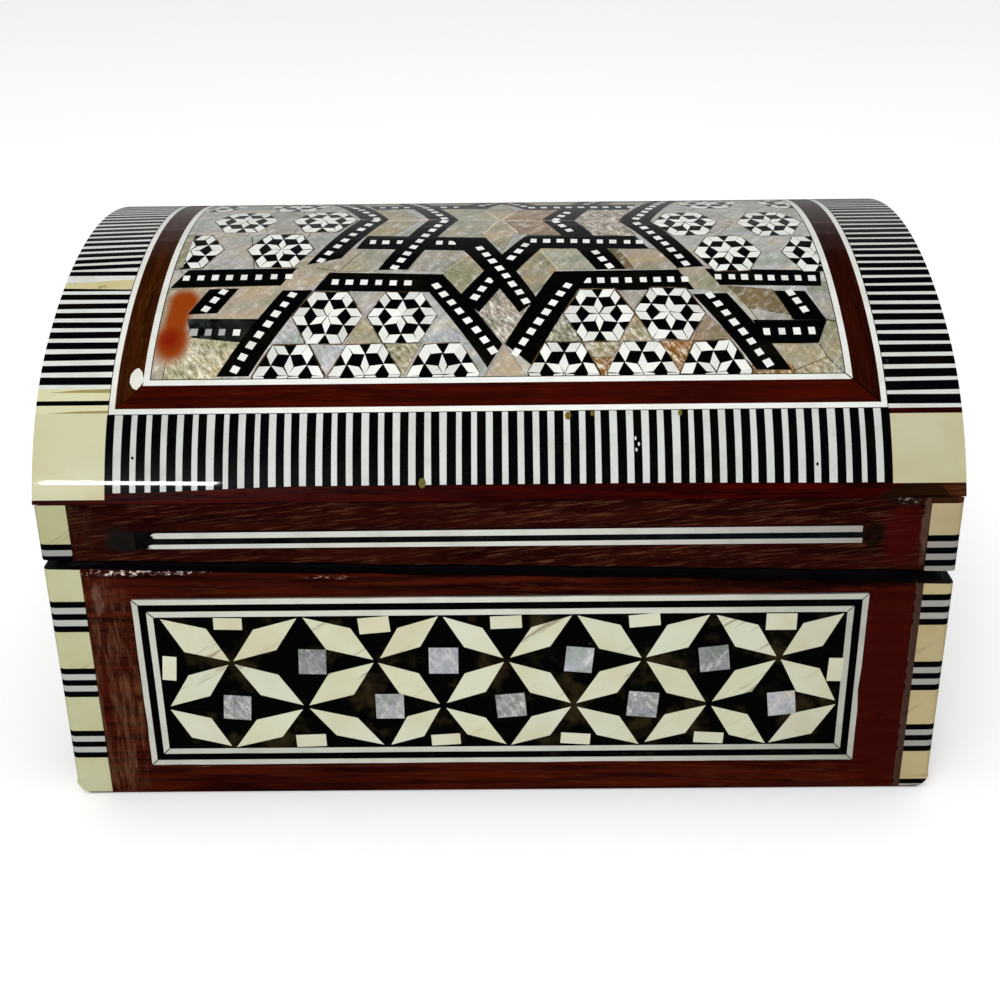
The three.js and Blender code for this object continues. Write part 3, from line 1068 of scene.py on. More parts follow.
@dataclass(frozen=True)
class Seam:
    """Saw cut between base and lid, a little out of true along the front."""

    rim: float = 36.5
    tilt: float = math.tan(math.radians(1.6))
    gap: float = 1.6
    drop: float = 0.42
    sag: float = 0.62
    step: float = 6.0
    wave: float = 0.12
    near: float = 0.3

    def bend(self, piece: Object, wavy: bool = False) -> None:
        """Moves the edges of the cut to where wear and hand work have left them.

        Args:
            piece: A board or banding that the cut runs along.
            wavy: Whether the edge is also made uneven.
        """
        if wavy:
            Bench.slice(piece, RIGHT, [i * self.step for i in range(-9, 10)])
        rng = random.Random(piece.name)
        uneven = {i: rng.uniform(-self.wave, self.wave) for i in range(-12, 13)}
        for vertex in piece.data.vertices:
            x = vertex.co.x / MM
            above = vertex.co.z / MM - self.rim + x * self.tilt
            shift = uneven[round(x / self.step)] if wavy else 0.0
            if abs(above) < self.near:
                vertex.co.z += (shift - self.drop) * MM
            elif abs(above - self.gap) < self.near:
                vertex.co.z += (shift - self.sag * (0.5 - x / WIDTH)) * MM


SEAM = Seam()


@dataclass
class Carcass:
    """Boards of the base and the lid."""

    wall: float = 6.0
    facets: int = 72
    skin: float = 1.15
    worn: float = 0.25
    rims: Point = (32.0, 41.0)
    near: float = 0.05
    steep: float = 1.0
    short: float = 3.0
    # Heights and inset of the inner faces that get the dark saw-cut wood, partly painted shade in the gap.
    faces_up: Point = (33.0, 43.5)
    faces_down: float = 42.5
    inside: float = 0.3
    wall_slant: float = 0.07
    rail_slant: float = -0.12
    rail_wood: Mahogany = Mahogany(
        middle=(0.195, 0.036, 0.010), light=(0.39, 0.23, 0.15), scratch=0.75, spread=0.6
    )
    wall_stains: tuple[Stain, ...] = (
        Stain((-55.5, 17.0), (4.6, 24.0), (0.46, 0.33, 0.23), 0.62, 1.0, Mottle.UPRIGHT),
        Stain((55.0, 17.0), (6.5, 26.0), (0.225, 0.012, 0.0), 0.9, 0.2),
        Stain((-56.4, 33.0), (0.9, 3.0), (0.55, 0.43, 0.37), 0.5, 0.8),
        Stain((55.0, 12.8), (0.5, 0.5), (0.05, 0.01, 0.0), 0.7),
        Stain((-22.0, 36.0), (0.9, 0.12), (0.5, 0.36, 0.3), 0.7),
        # Painted shadow below the cut at the right.
        Stain((45.0, 34.8), (22.0, 1.3), (0.03, 0.008, 0.004), 0.85, 0.4),
        # This patch and the next: pale chips along the rim of the base, with painted glints.
        Stain((-51.0, 37.2), (12.0, 0.55), (0.95, 0.88, 0.85), 1.0, 1.0, Mottle.FLECK),
        Stain((-24.0, 36.3), (4.5, 0.25), (0.8, 0.66, 0.62), 0.6, 1.0, Mottle.FLECK),
    )
    rail_stains: tuple[Stain, ...] = (
        Stain((-57.0, 43.0), (4.2, 6.5), (0.17, 0.09, 0.04), 0.7, 1.0, Mottle.UPRIGHT),
        Stain((-57.5, 45.5), (2.0, 3.2), (0.30, 0.20, 0.11), 0.4, 1.0, Mottle.UPRIGHT),
        Stain((-51.6, 42.2), (3.0, 2.3), mottled=0.15),
        Stain((55.6, 42.3), (3.6, 6.0), (0.25, 0.008, 0.004), 0.85, 0.15),
        Stain((51.5, 42.0), (1.9, 2.3), (0.06, 0.035, 0.015), 1.0),
        Stain((55.2, 47.2), (3.0, 1.0), (0.07, 0.045, 0.03), 0.95),
        Stain((55.4, 47.2), (2.4, 0.7), (0.66, 0.6, 0.55), 0.45, 1.0, Mottle.FLECK),
        Stain((58.5, 43.5), (0.75, 6.5), (0.36, 0.28, 0.22), 0.8, 0.5),
    )

    def build(self) -> None:
        """Builds the walls, rails, ends and vault and dresses the floor."""
        for side in SIDES:
            name, front = side.name, side.name == "front"
            grain, lid = (Grain.ALONG_X, "rail") if name in ("front", "back") else (Grain.ALONG_Y, "end")
            wall, rail = Mahogany(grain), replace(self.rail_wood, grain=grain)
            if front:
                wall = replace(wall, stains=self.wall_stains, slant=self.wall_slant)
                rail = replace(rail, stains=self.rail_stains, slant=self.rail_slant)
            self.board(f"base_{name}_wall", f"{name}_wall_board", wall, front)
            self.board(f"lid_{name}_{lid}", f"{name}_lid_board", rail, front)
        self.vault()
        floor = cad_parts["base_floor"].data
        floor.materials.clear()
        floor.materials.append(Bench.finish(Mahogany(Grain.ALONG_X)))

    def board(self, node: str, name: str, finish: Mahogany, front: bool) -> None:
        """Makes a board of its solid, worn along the saw cut.

        Args:
            node: The solid.
            name: Name of the piece.
            finish: Its wood.
            front: Whether it is at the front, where the cut is uneven.
        """
        piece = Bench.from_node(node, name)
        if node.startswith("base"):
            Bench.round_foot(piece)
        SEAM.bend(piece, front)
        Bench.wear(piece, self.worn, self.seam_edge)
        # Inner faces in the cut get the dark saw-cut wood, partly painted shade in the gap.
        self.darken_cut(piece)
        Bench.hand_in(piece, Slot.MAHOGANY, [finish, SawCut()], [node])

    def darken_cut(self, board: Object) -> None:
        """Gives the faces of the saw cut between base and lid the second finish of a board, dark wood that is
        partly painted shade in the gap.

        Args:
            board: A board that the cut runs along.
        """
        low, high = self.faces_up
        for polygon in board.data.polygons:
            x, y, z = polygon.center / MM
            inside = abs(y) < DEPTH / 2 - self.inside and abs(x) < WIDTH / 2 - self.inside
            if inside and low < z < high and (polygon.normal.z > 0.5 or z < self.faces_down):
                polygon.material_index = 1

    def seam_edge(self, first: Vector, second: Vector) -> bool:
        """Says whether an edge runs along the outside of the saw cut.

        Args:
            first: One end of the edge, in millimetres.
            second: The other end.

        Returns:
            Whether it does.
        """
        ends = (first, second)
        low, high = self.rims
        level = all(low < end.z < high for end in ends) and abs(second.z - first.z) < self.steep
        front = all(abs(abs(end.y) - DEPTH / 2) < self.near for end in ends)
        end_on = all(abs(abs(end.x) - WIDTH / 2) < self.near for end in ends)
        return level and (front or end_on) and (second - first).length > self.short

    def vault(self) -> None:
        """Bends the panel of the lid from a round outline drawn along the arch."""
        count = self.facets + 1
        bpy.ops.object.select_all(action="DESELECT")
        bpy.ops.mesh.primitive_circle_add(vertices=2 * count, fill_type="NGON")
        panel = bpy.context.object
        panel.name = "vault_panel"
        for vertex in panel.data.vertices:
            step = vertex.index if vertex.index < count else 2 * count - 1 - vertex.index
            out = -self.skin if vertex.index < count else -self.wall
            vertex.co = VAULT.point(-WIDTH / 2, VAULT.arc * step / self.facets, out)
        Bench.edit(panel)
        bpy.ops.mesh.extrude_region_move(TRANSFORM_OT_translate={"value": (WIDTH * MM, 0.0, 0.0)})
        bpy.ops.mesh.select_all(action="SELECT")
        bpy.ops.mesh.normals_make_consistent(inside=False)
        Bench.done()
        Bench.hand_in(panel, Slot.MAHOGANY, [Mahogany(Grain.ALONG_X)], ["lid_vault"])


class Ply(Enum):
    """What a layer of a corner banding is made of."""

    BONE = 0
    BLACK = 1
    WHITE = 2
    WOOD = 3
    # Dark saw-cut wood on level faces in the cut, partly painted shade in the gap.
    CUT = 4


@dataclass
class Bandings:
    """Stacked blocks and strips that wrap the upright corners."""

    strips: tuple[Point, ...] = ((32.7, 27.8), (21.8, 17.0), (11.2, 6.5))
    foot: Point = (1.6, 0.75)
    wear: float = 0.9
    strip: float = 59.2
    lid_left: Point = (41.7, 0.9)
    lid_right: Triple = (46.7, 41.9, 0.95)
    cracked: float = 0.4
    gap: tuple[float, float, float, float] = (0.085, 0.04, 0.042, 1.0)
    # Heights between which level faces get the dark saw-cut wood, partly painted shade.
    cut: Point = (33.0, 41.5)
    bone: dict[str, Colour] = field(default_factory=lambda: {
        "base_left": (0.77, 0.785, 0.69), "base_right": (0.75, 0.64, 0.48),
        "lid_left": (0.65, 0.645, 0.50), "lid_right": (0.69, 0.58, 0.48),
    })
    white: dict[str, Colour] = field(default_factory=lambda: {
        "base_left": (0.61, 0.635, 0.62), "base_right": (0.59, 0.585, 0.573),
        "lid_left": (0.447, 0.463, 0.456), "lid_right": (0.49, 0.465, 0.456),
    })
    corner: tuple[Stain, ...] = (
        Stain((60.0, 48.0), (4.0, 3.0), (0.15, 0.115, 0.05), 0.9, 0.6),
        Stain((63.3, 47.8), (1.2, 2.0), (0.33, 0.16, 0.08), 0.8, 0.6),
    )

    def base_layers(self, right: bool) -> list[tuple[float, Ply]]:
        """Lists the layers of a corner of the base.

        Args:
            right: Whether it is a right corner, which has two thin strips at its foot.

        Returns:
            The lowest height and the kind of each layer, from the top.
        """
        layers = []
        for high, low in self.strips:
            layers.append((high, Ply.BONE))
            step = (high - low) / 5
            layers += [(high - step * (i + 1), Ply.WHITE if i % 2 else Ply.BLACK) for i in range(5)]
        if right:
            return layers + [(self.foot[0], Ply.BONE), (self.foot[1], Ply.BLACK), (0.0, Ply.WHITE)]
        return layers + [(0.0, Ply.BONE)]

    def lid_layers(self, right: bool) -> list[tuple[float, Ply]]:
        """Lists the layers of a corner of the lid.

        Args:
            right: Whether it is a right corner, which has wood at its top.

        Returns:
            The lowest height and the kind of each layer, from the top.
        """
        if not right:
            bone, step = self.lid_left
            strips = [(bone - step, Ply.BLACK), (bone - 2 * step, Ply.WHITE)]
            return [(bone, Ply.BONE), *strips, (0.0, Ply.BLACK)]
        wood, bone, step = self.lid_right
        layers = [(wood, Ply.WOOD), (bone, Ply.BONE)]
        layers += [(bone - step * (i + 1), Ply.WHITE if i % 2 else Ply.BLACK) for i in range(5)]
        return layers + [(0.0, Ply.WHITE)]

    def build(self) -> None:
        """Cuts each banding into its layers and dresses them."""
        for end in ("front", "back"):
            for hand in ("left", "right"):
                right = hand == "right"
                for part, layers in (("base", self.base_layers(right)), ("lid", self.lid_layers(right))):
                    self.banding(f"{part}_{end}_{hand}_banding", f"{part}_{end}_{hand}_stack", layers)

    def banding(self, node: str, name: str, layers: list[tuple[float, Ply]]) -> None:
        """Cuts one banding.

        Args:
            node: The solid of the banding.
            name: Name of the piece.
            layers: Lowest height and kind of each layer, from the top.
        """
        piece = Bench.from_node(node, name)
        if node.startswith("base"):
            Bench.round_foot(piece)
        SEAM.bend(piece)
        Bench.wear(piece, self.wear, self.arris)
        Bench.slice(piece, UP, [height for height, _ in layers[:-1]])
        Bench.slice(piece, RIGHT, [self.strip])
        rng = random.Random(name)
        shades = [rng.uniform(0.9, 1.0) for _ in layers]
        part, _, hand, _ = name.split("_")
        shade = piece.data.color_attributes.new("tint", "FLOAT_COLOR", "CORNER")
        for polygon in piece.data.polygons:
            x, _, height = polygon.center / MM
            number = next(i for i, (low, _) in enumerate(layers) if height > low or i == len(layers) - 1)
            ply = layers[number][1]
            tint = (*WHITE, 0.0)
            if ply in (Ply.BONE, Ply.WHITE):
                colour = (self.bone if ply is Ply.BONE else self.white)[f"{part}_{hand}"]
                tint = (*(c * shades[number] for c in colour), self.cracked if ply is Ply.BONE else 0.0)
            # Level faces in the cut get the dark saw-cut wood, partly painted shade in the gap.
            if self.cut[0] < height < self.cut[1] and abs(polygon.normal.z) > 0.8:
                ply = Ply.CUT
            if part == "base" and 0.0 < x < self.strip and abs(polygon.normal.y) > 0.8:
                ply, tint = Ply.BONE, self.gap
            polygon.material_index = ply.value
            for corner in polygon.loop_indices:
                shade.data[corner].color = tint
        finishes = [Bone(), BlackResin(), WhiteStrip(), Mahogany(stains=self.corner), SawCut()]
        Bench.hand_in(piece, Slot.STRIPED, finishes, [node])

    @staticmethod
    def arris(first: Vector, second: Vector) -> bool:
        """Says whether an edge, from its ends in millimetres, is part of the upright outer corner."""
        insets = [(WIDTH / 2 - abs(end.x), DEPTH / 2 - abs(end.y)) for end in (first, second)]
        return all(abs(x - y) < 0.02 and x < 1.4 for x, y in insets) and abs(first.z - second.z) > 0.02


@dataclass
class FaceMosaic:
    """Framed mosaic of lozenges on one face of the base."""

    side: Side
    margin: float = 11.7
    low: float = 5.1
    high: float = 32.9
    string: float = 0.95
    edges: tuple[float, ...] = (0.0, 0.86, 1.94, 2.85)
    dull: tuple[float, ...] = (0.87, 0.95, 0.98, 0.93)
    rows: tuple[float, ...] = (30.1, 22.6, 15.0, 8.0)
    pitch: float = 9.8
    square: float = 4.2
    front_nodes: tuple[list[float], ...] = (
        [-48.4, -28.2, -8.4, 10.6, 30.1, 48.9],
        [-38.5, -17.8, 0.9, 20.5, 39.8],
        [-39.2, -16.6, 1.2, 20.4, 38.9],
    )
    low_slip: tuple[Point, Point] = ((0.3, 9.2), (4.2, 2.0))
    top_slip: Point = (29.9, 4.35)
    end_slip: Point = (2.0, 4.0)
    end_heights: Point = (21.7, 20.6)
    end_inset: float = 0.9
    worn_squares: tuple[Point, ...] = (
        (-26.9, 0.59), (-8.1, 0.95), (11.3, 1.03), (30.6, 0.57),
        (-38.3, 0.7), (-16.1, 0.88), (1.5, 0.66), (20.6, 0.67), (40.7, 0.95),
    )

    def __post_init__(self) -> None:
        """Starts an empty sheet and a source of small unevenness."""
        self.sheet = Sheet(self.side.name)
        self.rng = random.Random(f"mosaic {self.side.name}")

    def columns(self) -> list[list[float]]:
        """Finds where the tips of the lozenges meet.

        Returns:
            The nodes of each of the four rows, from the top.
        """
        if self.side.name == "front":
            outer, upper, lower = self.front_nodes
            return [outer, upper, outer, lower]
        half = self.side.span - self.margin - 3 * self.string
        count = 2 * round(half / self.pitch)
        step = 2 * half / count
        every = [i * step - half for i in range(count + 1)]
        return [every[0::2], every[1::2]] * 2

    def build(self) -> None:
        """Lays out the frame and the mosaic and makes their pieces."""
        self.frame(self.side.span - self.margin)
        nodes = self.columns()
        self.lozenges(nodes)
        self.slips(nodes[0], nodes[1])
        kinds = {
            "white_strips": (Slot.WHITE, WhiteStrip(), ("outer_white_string", "inner_white_string")),
            "black_strips": (Slot.BLACK, BlackResin(), ("black_string",)),
            "ground_resin": (Slot.BLACK, BlackResin(), ("mosaic_ground",)),
            "lozenge_tiles": (Slot.BONE, Bone(), ("bone_lozenges",)),
            "bone_slips": (Slot.BONE, Bone(), ()),
            "shell_squares": (Slot.PEARL, Shell(), ()),
        }
        self.sheet.dress(kinds, self.side.point)

    def frame(self, half: float) -> None:
        """Lays three mitred rings of strips around the ground.

        Args:
            half: Half width over the outer ring.
        """
        for ring, piece in enumerate(("white_strips", "black_strips", "white_strips")):
            strips = mitred(half, self.low, self.high, *self.edges[ring:ring + 2])
            for number, (a, b, c, d) in enumerate(strips):
                tint = WHITE
                if ring != 1:
                    tone = self.rng.uniform(0.76, 0.81) * self.dull[number]
                    tint = (tone, tone, tone * 0.93)
                chips = 0.3 if ring == 0 and number == 1 else 0.1
                edge = [a, *self.chipped(a, b, chips if ring == 0 else 0.04), b, c, d]
                # The extra number sets the painted shade towards the right end, stronger on the bottom strip.
                self.sheet.lay(piece, edge, tint, 0.15 if number else 0.4)
        inset = 3 * self.string
        ground = rectangle(inset - half, half - inset, self.low + inset, self.high - inset)
        self.sheet.lay("ground_resin", ground, extra=0.8)
        outer = rectangle(-half, half, self.low, self.high)
        for start, end in zip(outer, ground):
            side = Vector((start[1] - end[1], end[0] - start[0])).normalized() * self.rng.uniform(0.05, 0.1)
            self.sheet.lay("black_strips", ribbon(start, end, side))

    def chipped(self, start: Point, end: Point, depth: float) -> list[Point]:
        """Sets points along an edge, each a little to the left of it.

        Args:
            start: First end of the edge.
            end: Last end of the edge.
            depth: How far in the points lie at most.

        Returns:
            The points between the ends.
        """
        run = Vector(end) - Vector(start)
        inward = Vector((-run.y, run.x)).normalized()
        count = max(3, round(run.length / 4.0))
        points = []
        for i in range(1, count):
            share = i + self.rng.uniform(-0.3, 0.3)
            point = Vector(start) + run * share / count + inward * depth * self.rng.random() ** 2
            points.append((point.x, point.y))
        return points

    def lozenges(self, nodes: list[list[float]]) -> None:
        """Lays lozenges between the nodes of neighbouring rows.

        Args:
            nodes: Nodes of each row.
        """
        for row in range(len(self.rows) - 1):
            for top in nodes[row]:
                for bottom in nodes[row + 1]:
                    if abs(bottom - top) > 1.3 * self.pitch:
                        continue
                    start = Vector((top, self.rows[row]))
                    run = Vector((bottom, self.rows[row + 1])) - start
                    start = start + run * self.rng.uniform(0.03, 0.055)
                    run = run * self.rng.uniform(0.9, 0.935)
                    lean = (self.rng.uniform(0.64, 0.69), self.rng.uniform(0.22, 0.28))
                    tips = [(0.0, 0.0), lean, (1.0, 1.0), (1.0 - lean[0], 1.0 - lean[1])]
                    corners = [(start.x + run.x * u, start.y + run.y * v) for u, v in tips]
                    tone = self.rng.uniform(0.98, 1.05)
                    tint = (tone * 0.87, tone * 0.905, tone * self.rng.uniform(0.93, 1.04))
                    cracked = 1.0 if self.rng.random() < 0.35 else 0.25
                    self.sheet.lay("lozenge_tiles", corners, tint, cracked)

    def slips(self, outer: list[float], inner: list[float]) -> None:
        """Lays squares of shell and slips of bone between the lozenges.

        Args:
            outer: Nodes of the first and third rows.
            inner: Nodes of the second row.
        """
        squares, slips = "shell_squares", "bone_slips"
        worn = iter(self.worn_squares if self.side.name == "front" else ())
        size = (self.square, self.square)
        (shift, height), low_size = self.low_slip
        for x in outer[1:-1]:
            place, shade = next(worn, (x, None))
            self.slip(squares, (place, self.rows[1]), size, shade)
            self.slip(slips, (x + shift, height), low_size)
        top, wide = self.top_slip
        for x in inner:
            place, shade = next(worn, (x, None))
            self.slip(squares, (place, self.rows[2]), size, shade)
            high = self.rng.uniform(1.9, 3.0)
            self.slip(slips, (x, top - high / 2), (wide, high))
        ends = (outer[0] + self.end_inset, outer[-1] - self.end_inset)
        for place in zip(ends, self.end_heights):
            self.slip(slips, place, self.end_slip)

    def slip(self, piece: str, centre: Point, size: Point, shade: float | None = None) -> None:
        """Lays one small rectangle, a little out of true.

        Args:
            piece: Piece that it belongs to.
            centre: Its middle.
            size: Its width and height.
            shade: Brightness of a square of shell, drawn at random where it is None.
        """
        turn = math.radians(self.rng.uniform(-7.0, 7.0))
        size = (size[0] * self.rng.uniform(0.92, 1.05), size[1] * self.rng.uniform(0.92, 1.05))
        corners = []
        for u, v in rectangle(-0.5, 0.5, -0.5, 0.5):
            x, y = u * size[0], v * size[1]
            corners.append((
                centre[0] + x * math.cos(turn) - y * math.sin(turn),
                centre[1] + x * math.sin(turn) + y * math.cos(turn),
            ))
        if "shell" in piece:
            tone = self.rng.uniform(0.5, 1.1)
            r, g, b = Tone.BLUE.tint(tone if shade is None else shade)
            self.sheet.lay(piece, corners, (r, g, b * 1.05), self.rng.uniform(0.15, 0.5))
        else:
            tone = self.rng.uniform(0.86, 0.94)
            self.sheet.lay(piece, corners, (tone, tone * 1.02, tone * 1.12))


@dataclass
class RailStrings:
    """White, black and white strings let into the sides of the lid."""

    heights: tuple[float, ...] = (40.85, 41.6, 42.5, 43.35)
    groove: float = 43.45
    slope: float = 0.1
    margin: float = 13.5
    tint: Colour = (0.74, 0.735, 0.71)
    black: Colour = (0.96, 0.96, 0.96)

    def build(self) -> None:
        """Lays and makes the strings of all four sides."""
        for side in SIDES:
            rng = random.Random(f"rail {side.name}")
            sheet = Sheet(f"{side.name}_rail")
            half = side.span - self.margin
            ground = rectangle(-half, half, self.heights[0], self.groove)
            sheet.lay("black", ground, self.black)
            for low, high in (self.heights[:2], self.heights[2:]):
                right = half - rng.uniform(0.0, 0.3)
                drop = self.slope if low > self.heights[0] else 0.0
                top = high - self.slope
                outline = [(-half, low - drop), (right, low), (right, high + drop), (-half, top)]
                if side.name == "front":
                    outline = self.frayed(outline, rng)
                # The extra number gives the strings strong painted shade towards the right end.
                sheet.lay("white", outline, self.tint, 1.0)
            kinds = {
                "black": (Slot.BLACK, BlackResin(), ()),
                "white": (Slot.WHITE, WhiteStrip(), ("string",)),
            }
            sheet.dress(kinds, side.point)

    @staticmethod
    def frayed(outline: list[Point], rng: random.Random) -> list[Point]:
        """Breaks away the left end of a strip.

        Args:
            outline: The whole strip, from its lower left corner.
            rng: Source of the unevenness.

        Returns:
            The strip with a ragged left end.
        """
        (left, low), right_low, right_high, (_, high) = outline
        start = left + rng.uniform(1.8, 2.4)
        steps = (0.85, 0.6, 0.3, 0.12)
        ragged = [(start + rng.uniform(-0.5, 0.5), low + (high - low) * share) for share in steps]
        return [(start + 0.7, low), right_low, right_high, (start + 0.5, high), *ragged]


@dataclass(frozen=True)
class Strap:
    """One run of black strap with its row of white squares."""

    corners: tuple[Point, Point, Point, Point]
    first: Point
    last: Point
    count: int
    haze: float = 0.0

    def covers(self, point: Vector) -> bool:
        """Says whether a place of the sheet lies on the strap."""
        return bool(intersect_point_quad_2d(point, *(Vector(corner) for corner in self.corners)))


@dataclass
class Dome:
    """Inlay that covers the vault: striped bands, lines, wood band and the shell field."""

    edge: float = 53.5
    band_high: float = 12.4
    line: float = 0.9
    wood: float = 3.55
    pitch: float = 2.1
    star_r: float = 5.05
    web: float = 0.072
    fine: float = 0.11
    levels: float = 1.9
    edge_tint: Colour = (0.74, 0.16, 0.2)
    stripe_tint: Colour = (0.735, 0.752, 0.757)
    arch_tints: tuple[Colour, Colour] = ((0.90, 0.92, 0.925), (0.82, 0.835, 0.84))
    wood_tints: tuple[Colour, ...] = ((0.9, 0.5, 0.2), (0.5, 0.6, 0.55), WHITE, (0.85, 2.1, 0.9))
    block_tints: tuple[Colour, Colour] = ((0.79, 0.785, 0.72), (0.70, 0.685, 0.635))
    stripe_count: int = 51
    askew: Point = (58.5, 0.056)
    mend: float = 16.5
    mend_tints: tuple[Colour, ...] = ((0.87, 0.86, 0.78), (0.84, 0.78, 0.65), (0.42, 0.36, 0.2))
    wedge: tuple[Point, Point] = ((36.3, 37.6), (35.9, 38.5))
    slivers: tuple[Point, ...] = ((12.75, 0.35), (15.9, 0.5))
    filler: tuple[Point, Point] = ((-50.0, 18.0), (0.95, 1.75))
    filler_tint: Colour = (0.95, 0.95, 0.9)
    chips: tuple[tuple[float, float, Colour], ...] = (
        (51.0, 55.5, (0.35, 1.4, 1.7)), (61.5, 60.0, (0.95, 2.8, 4.0)),
    )
    smears: tuple[Triple, ...] = (
        (9.7, 11.7, 0.65), (13.0, 12.0, 0.4), (25.0, 12.0, 0.45), (-10.3, 2.5, 0.75),
    )
    smear_tint: Colour = (0.2, 0.16, 0.04)
    specks: tuple[Point, ...] = ((-49.8, 6.3), (43.4, 4.6))
    nicks: tuple[Point, ...] = ((18.8, 8.4), (19.25, 7.6), (18.9, 6.8))
    arc: float = VAULT.arc
    sheet: Sheet = field(default_factory=lambda: Sheet("dome"))
    rng: random.Random = field(default_factory=lambda: random.Random("dome"))

    def mirrored(self, point: Point) -> Point:
        """Carries a place of the front half over the pattern's middle line, which runs a little askew.

        Args:
            point: A place in the front half.

        Returns:
            Its image in the back half.
        """
        x, along = point
        middle, slope = self.askew
        centre = middle - slope * x
        gap = centre - along
        return x, centre + gap + 2 * slope * x * smoothstep(gap / 25.0)

    def build(self) -> None:
        """Lays out the whole dome, cuts it and makes its pieces."""
        half = WIDTH / 2
        self.sheet.lay("edge_wood", rectangle(-half, half, 0.0, self.arc), self.edge_tint)
        ShellField(self).lay()
        self.nested_lines()
        self.stripes()
        self.blocks()
        self.flaws()
        self.make()

    def make(self) -> None:
        """Makes the pieces of the dome and bends them over the vault."""
        count = math.ceil(self.arc / self.levels)
        levels = [self.arc * i / count for i in range(1, count)]
        kinds = {
            "edge_wood": (Slot.MAHOGANY, Mahogany(Grain.ON_SHEET), ()),
            "band_wood": (Slot.MAHOGANY, Mahogany(Grain.ON_SHEET, calm=0.35), ("wood_band",)),
            "white_lines": (Slot.WHITE, WhiteStrip(), ("outer_line", "inner_line")),
            "white_stripes": (
                Slot.STRIPED, WhiteStrip(), ("front_stripes", "back_stripes", "left_stripes", "right_stripes")
            ),
            "black_stripes": (Slot.BLACK, BlackResin(), ()),
            "corner_blocks": (
                Slot.BONE, Bone(),
                ("front_left_block", "front_right_block", "back_left_block", "back_right_block"),
            ),
            "shell_ground": (Slot.PEARL, Shell(), ("pearl_field",)),
            "straps": (Slot.BLACK, BlackResin(), ()),
            "strap_squares": (Slot.WHITE, WhiteStrip(), ()),
            "star_webs": (Slot.BLACK, BlackResin(), ()),
            "star_rhombs": (Slot.WHITE, WhiteStrip(), ()),
        }
        for piece in self.sheet.dress(kinds, VAULT.point, levels):
            self.round_off(piece)

    @staticmethod
    def round_off(piece: Object) -> None:
        """Gives the outer faces of a bent piece the normals of the true arch.

        Args:
            piece: The piece.
        """
        mesh = piece.data
        flat = mesh.uv_layers["flat"].data
        normals = [Vector() for _ in mesh.loops]
        for polygon in mesh.polygons:
            for corner in polygon.loop_indices:
                true = VAULT.normal(flat[corner].uv.y / MM)
                normals[corner] = true if polygon.normal.dot(true) > 0.9 else polygon.normal.copy()
        mesh.normals_split_custom_set(normals)

    def ring(self, piece: str, near: float, far: float, turned: bool = False) -> None:
        """Lays a ring of four mitred strips.

        Args:
            piece: Piece that they belong to.
            near: Distance of the outer edge inside the striped bands.
            far: Distance of the inner edge.
            turned: Whether the upright strips have their grain turned.
        """
        strips = mitred(self.edge, self.band_high, self.arc - self.band_high, near, far)
        for i, strip in enumerate(strips):
            tone = self.rng.uniform(0.95, 1.0)
            shade = self.wood_tints[i] if turned else (tone, tone, tone)
            self.sheet.lay(piece, strip, shade, 1.0 if turned and i % 2 else 0.0)

    def nested_lines(self) -> None:
        """Lays the two white lines and the wood band between them."""
        wood_far = self.line + self.wood
        inner_far = wood_far + self.line
        self.ring("white_lines", 0.0, self.line)
        self.ring("band_wood", self.line, wood_far, True)
        self.ring("white_lines", wood_far, inner_far)
        self.ring("straps", -self.fine, self.fine)
        self.ring("straps", inner_far - 0.03, inner_far + self.fine)
        corner = (self.edge - self.line, self.band_high + self.line)
        run = self.wood + 1.1
        mitre = ribbon(corner, (corner[0] - run, corner[1] + run), (0.06, 0.06))
        self.sheet.lay("straps", mitre)

    def stripes(self) -> None:
        """Lays the striped bands along the front, the back and the two arched edges."""
        half = WIDTH / 2
        for back in (False, True):
            self.long_band(back)
        for hand in (-1.0, 1.0):
            near, far = sorted((hand * self.edge, hand * half))
            band = rectangle(near, far, self.band_high, self.arc - self.band_high)
            self.sheet.lay("white_stripes", band, self.arch_tints[hand > 0])
            self.arched_band(near, far, hand < 0)

    def turned(self, outline: Iterable[Point], back: bool) -> list[Point]:
        """Returns an outline, carried to the back edge if asked."""
        return [(x, self.arc - y) for x, y in outline] if back else list(outline)

    def long_band(self, back: bool) -> None:
        """Lays the upright stripes along one long edge.

        Args:
            back: Whether it is the back edge.
        """
        reach = self.edge - 0.05

        def low(x: float) -> float:
            """Returns where the band ends towards the wood."""
            return 2.25 - 0.75 * smoothstep((-x - 25.0) / 28.0) - 0.2 * smoothstep((x - 20.0) / 30.0)

        steps = [reach * (i / 12.0 - 1.0) for i in range(25)]
        outline = [(x, low(x)) for x in steps] + [(reach, self.band_high), (-reach, self.band_high)]
        self.sheet.lay("white_stripes", self.turned(outline, back), self.stripe_tint)
        last = self.stripe_count - 1
        for i in range(self.stripe_count):
            x = (i - last / 2) * (2 * reach - 1.0) / last + self.rng.uniform(-0.09, 0.09)
            wide = 0.5 * self.pitch * self.rng.uniform(0.535, 0.62)
            lean = self.rng.uniform(-0.06, 0.06)
            foot = low(x) - self.rng.uniform(0.03, 0.12)
            top = self.band_high
            stripe = [(x - wide, foot), (x + wide, foot), (x + wide + lean, top), (x - wide + lean, top)]
            self.sheet.lay("black_stripes", self.turned(stripe, back), extra=0.05)

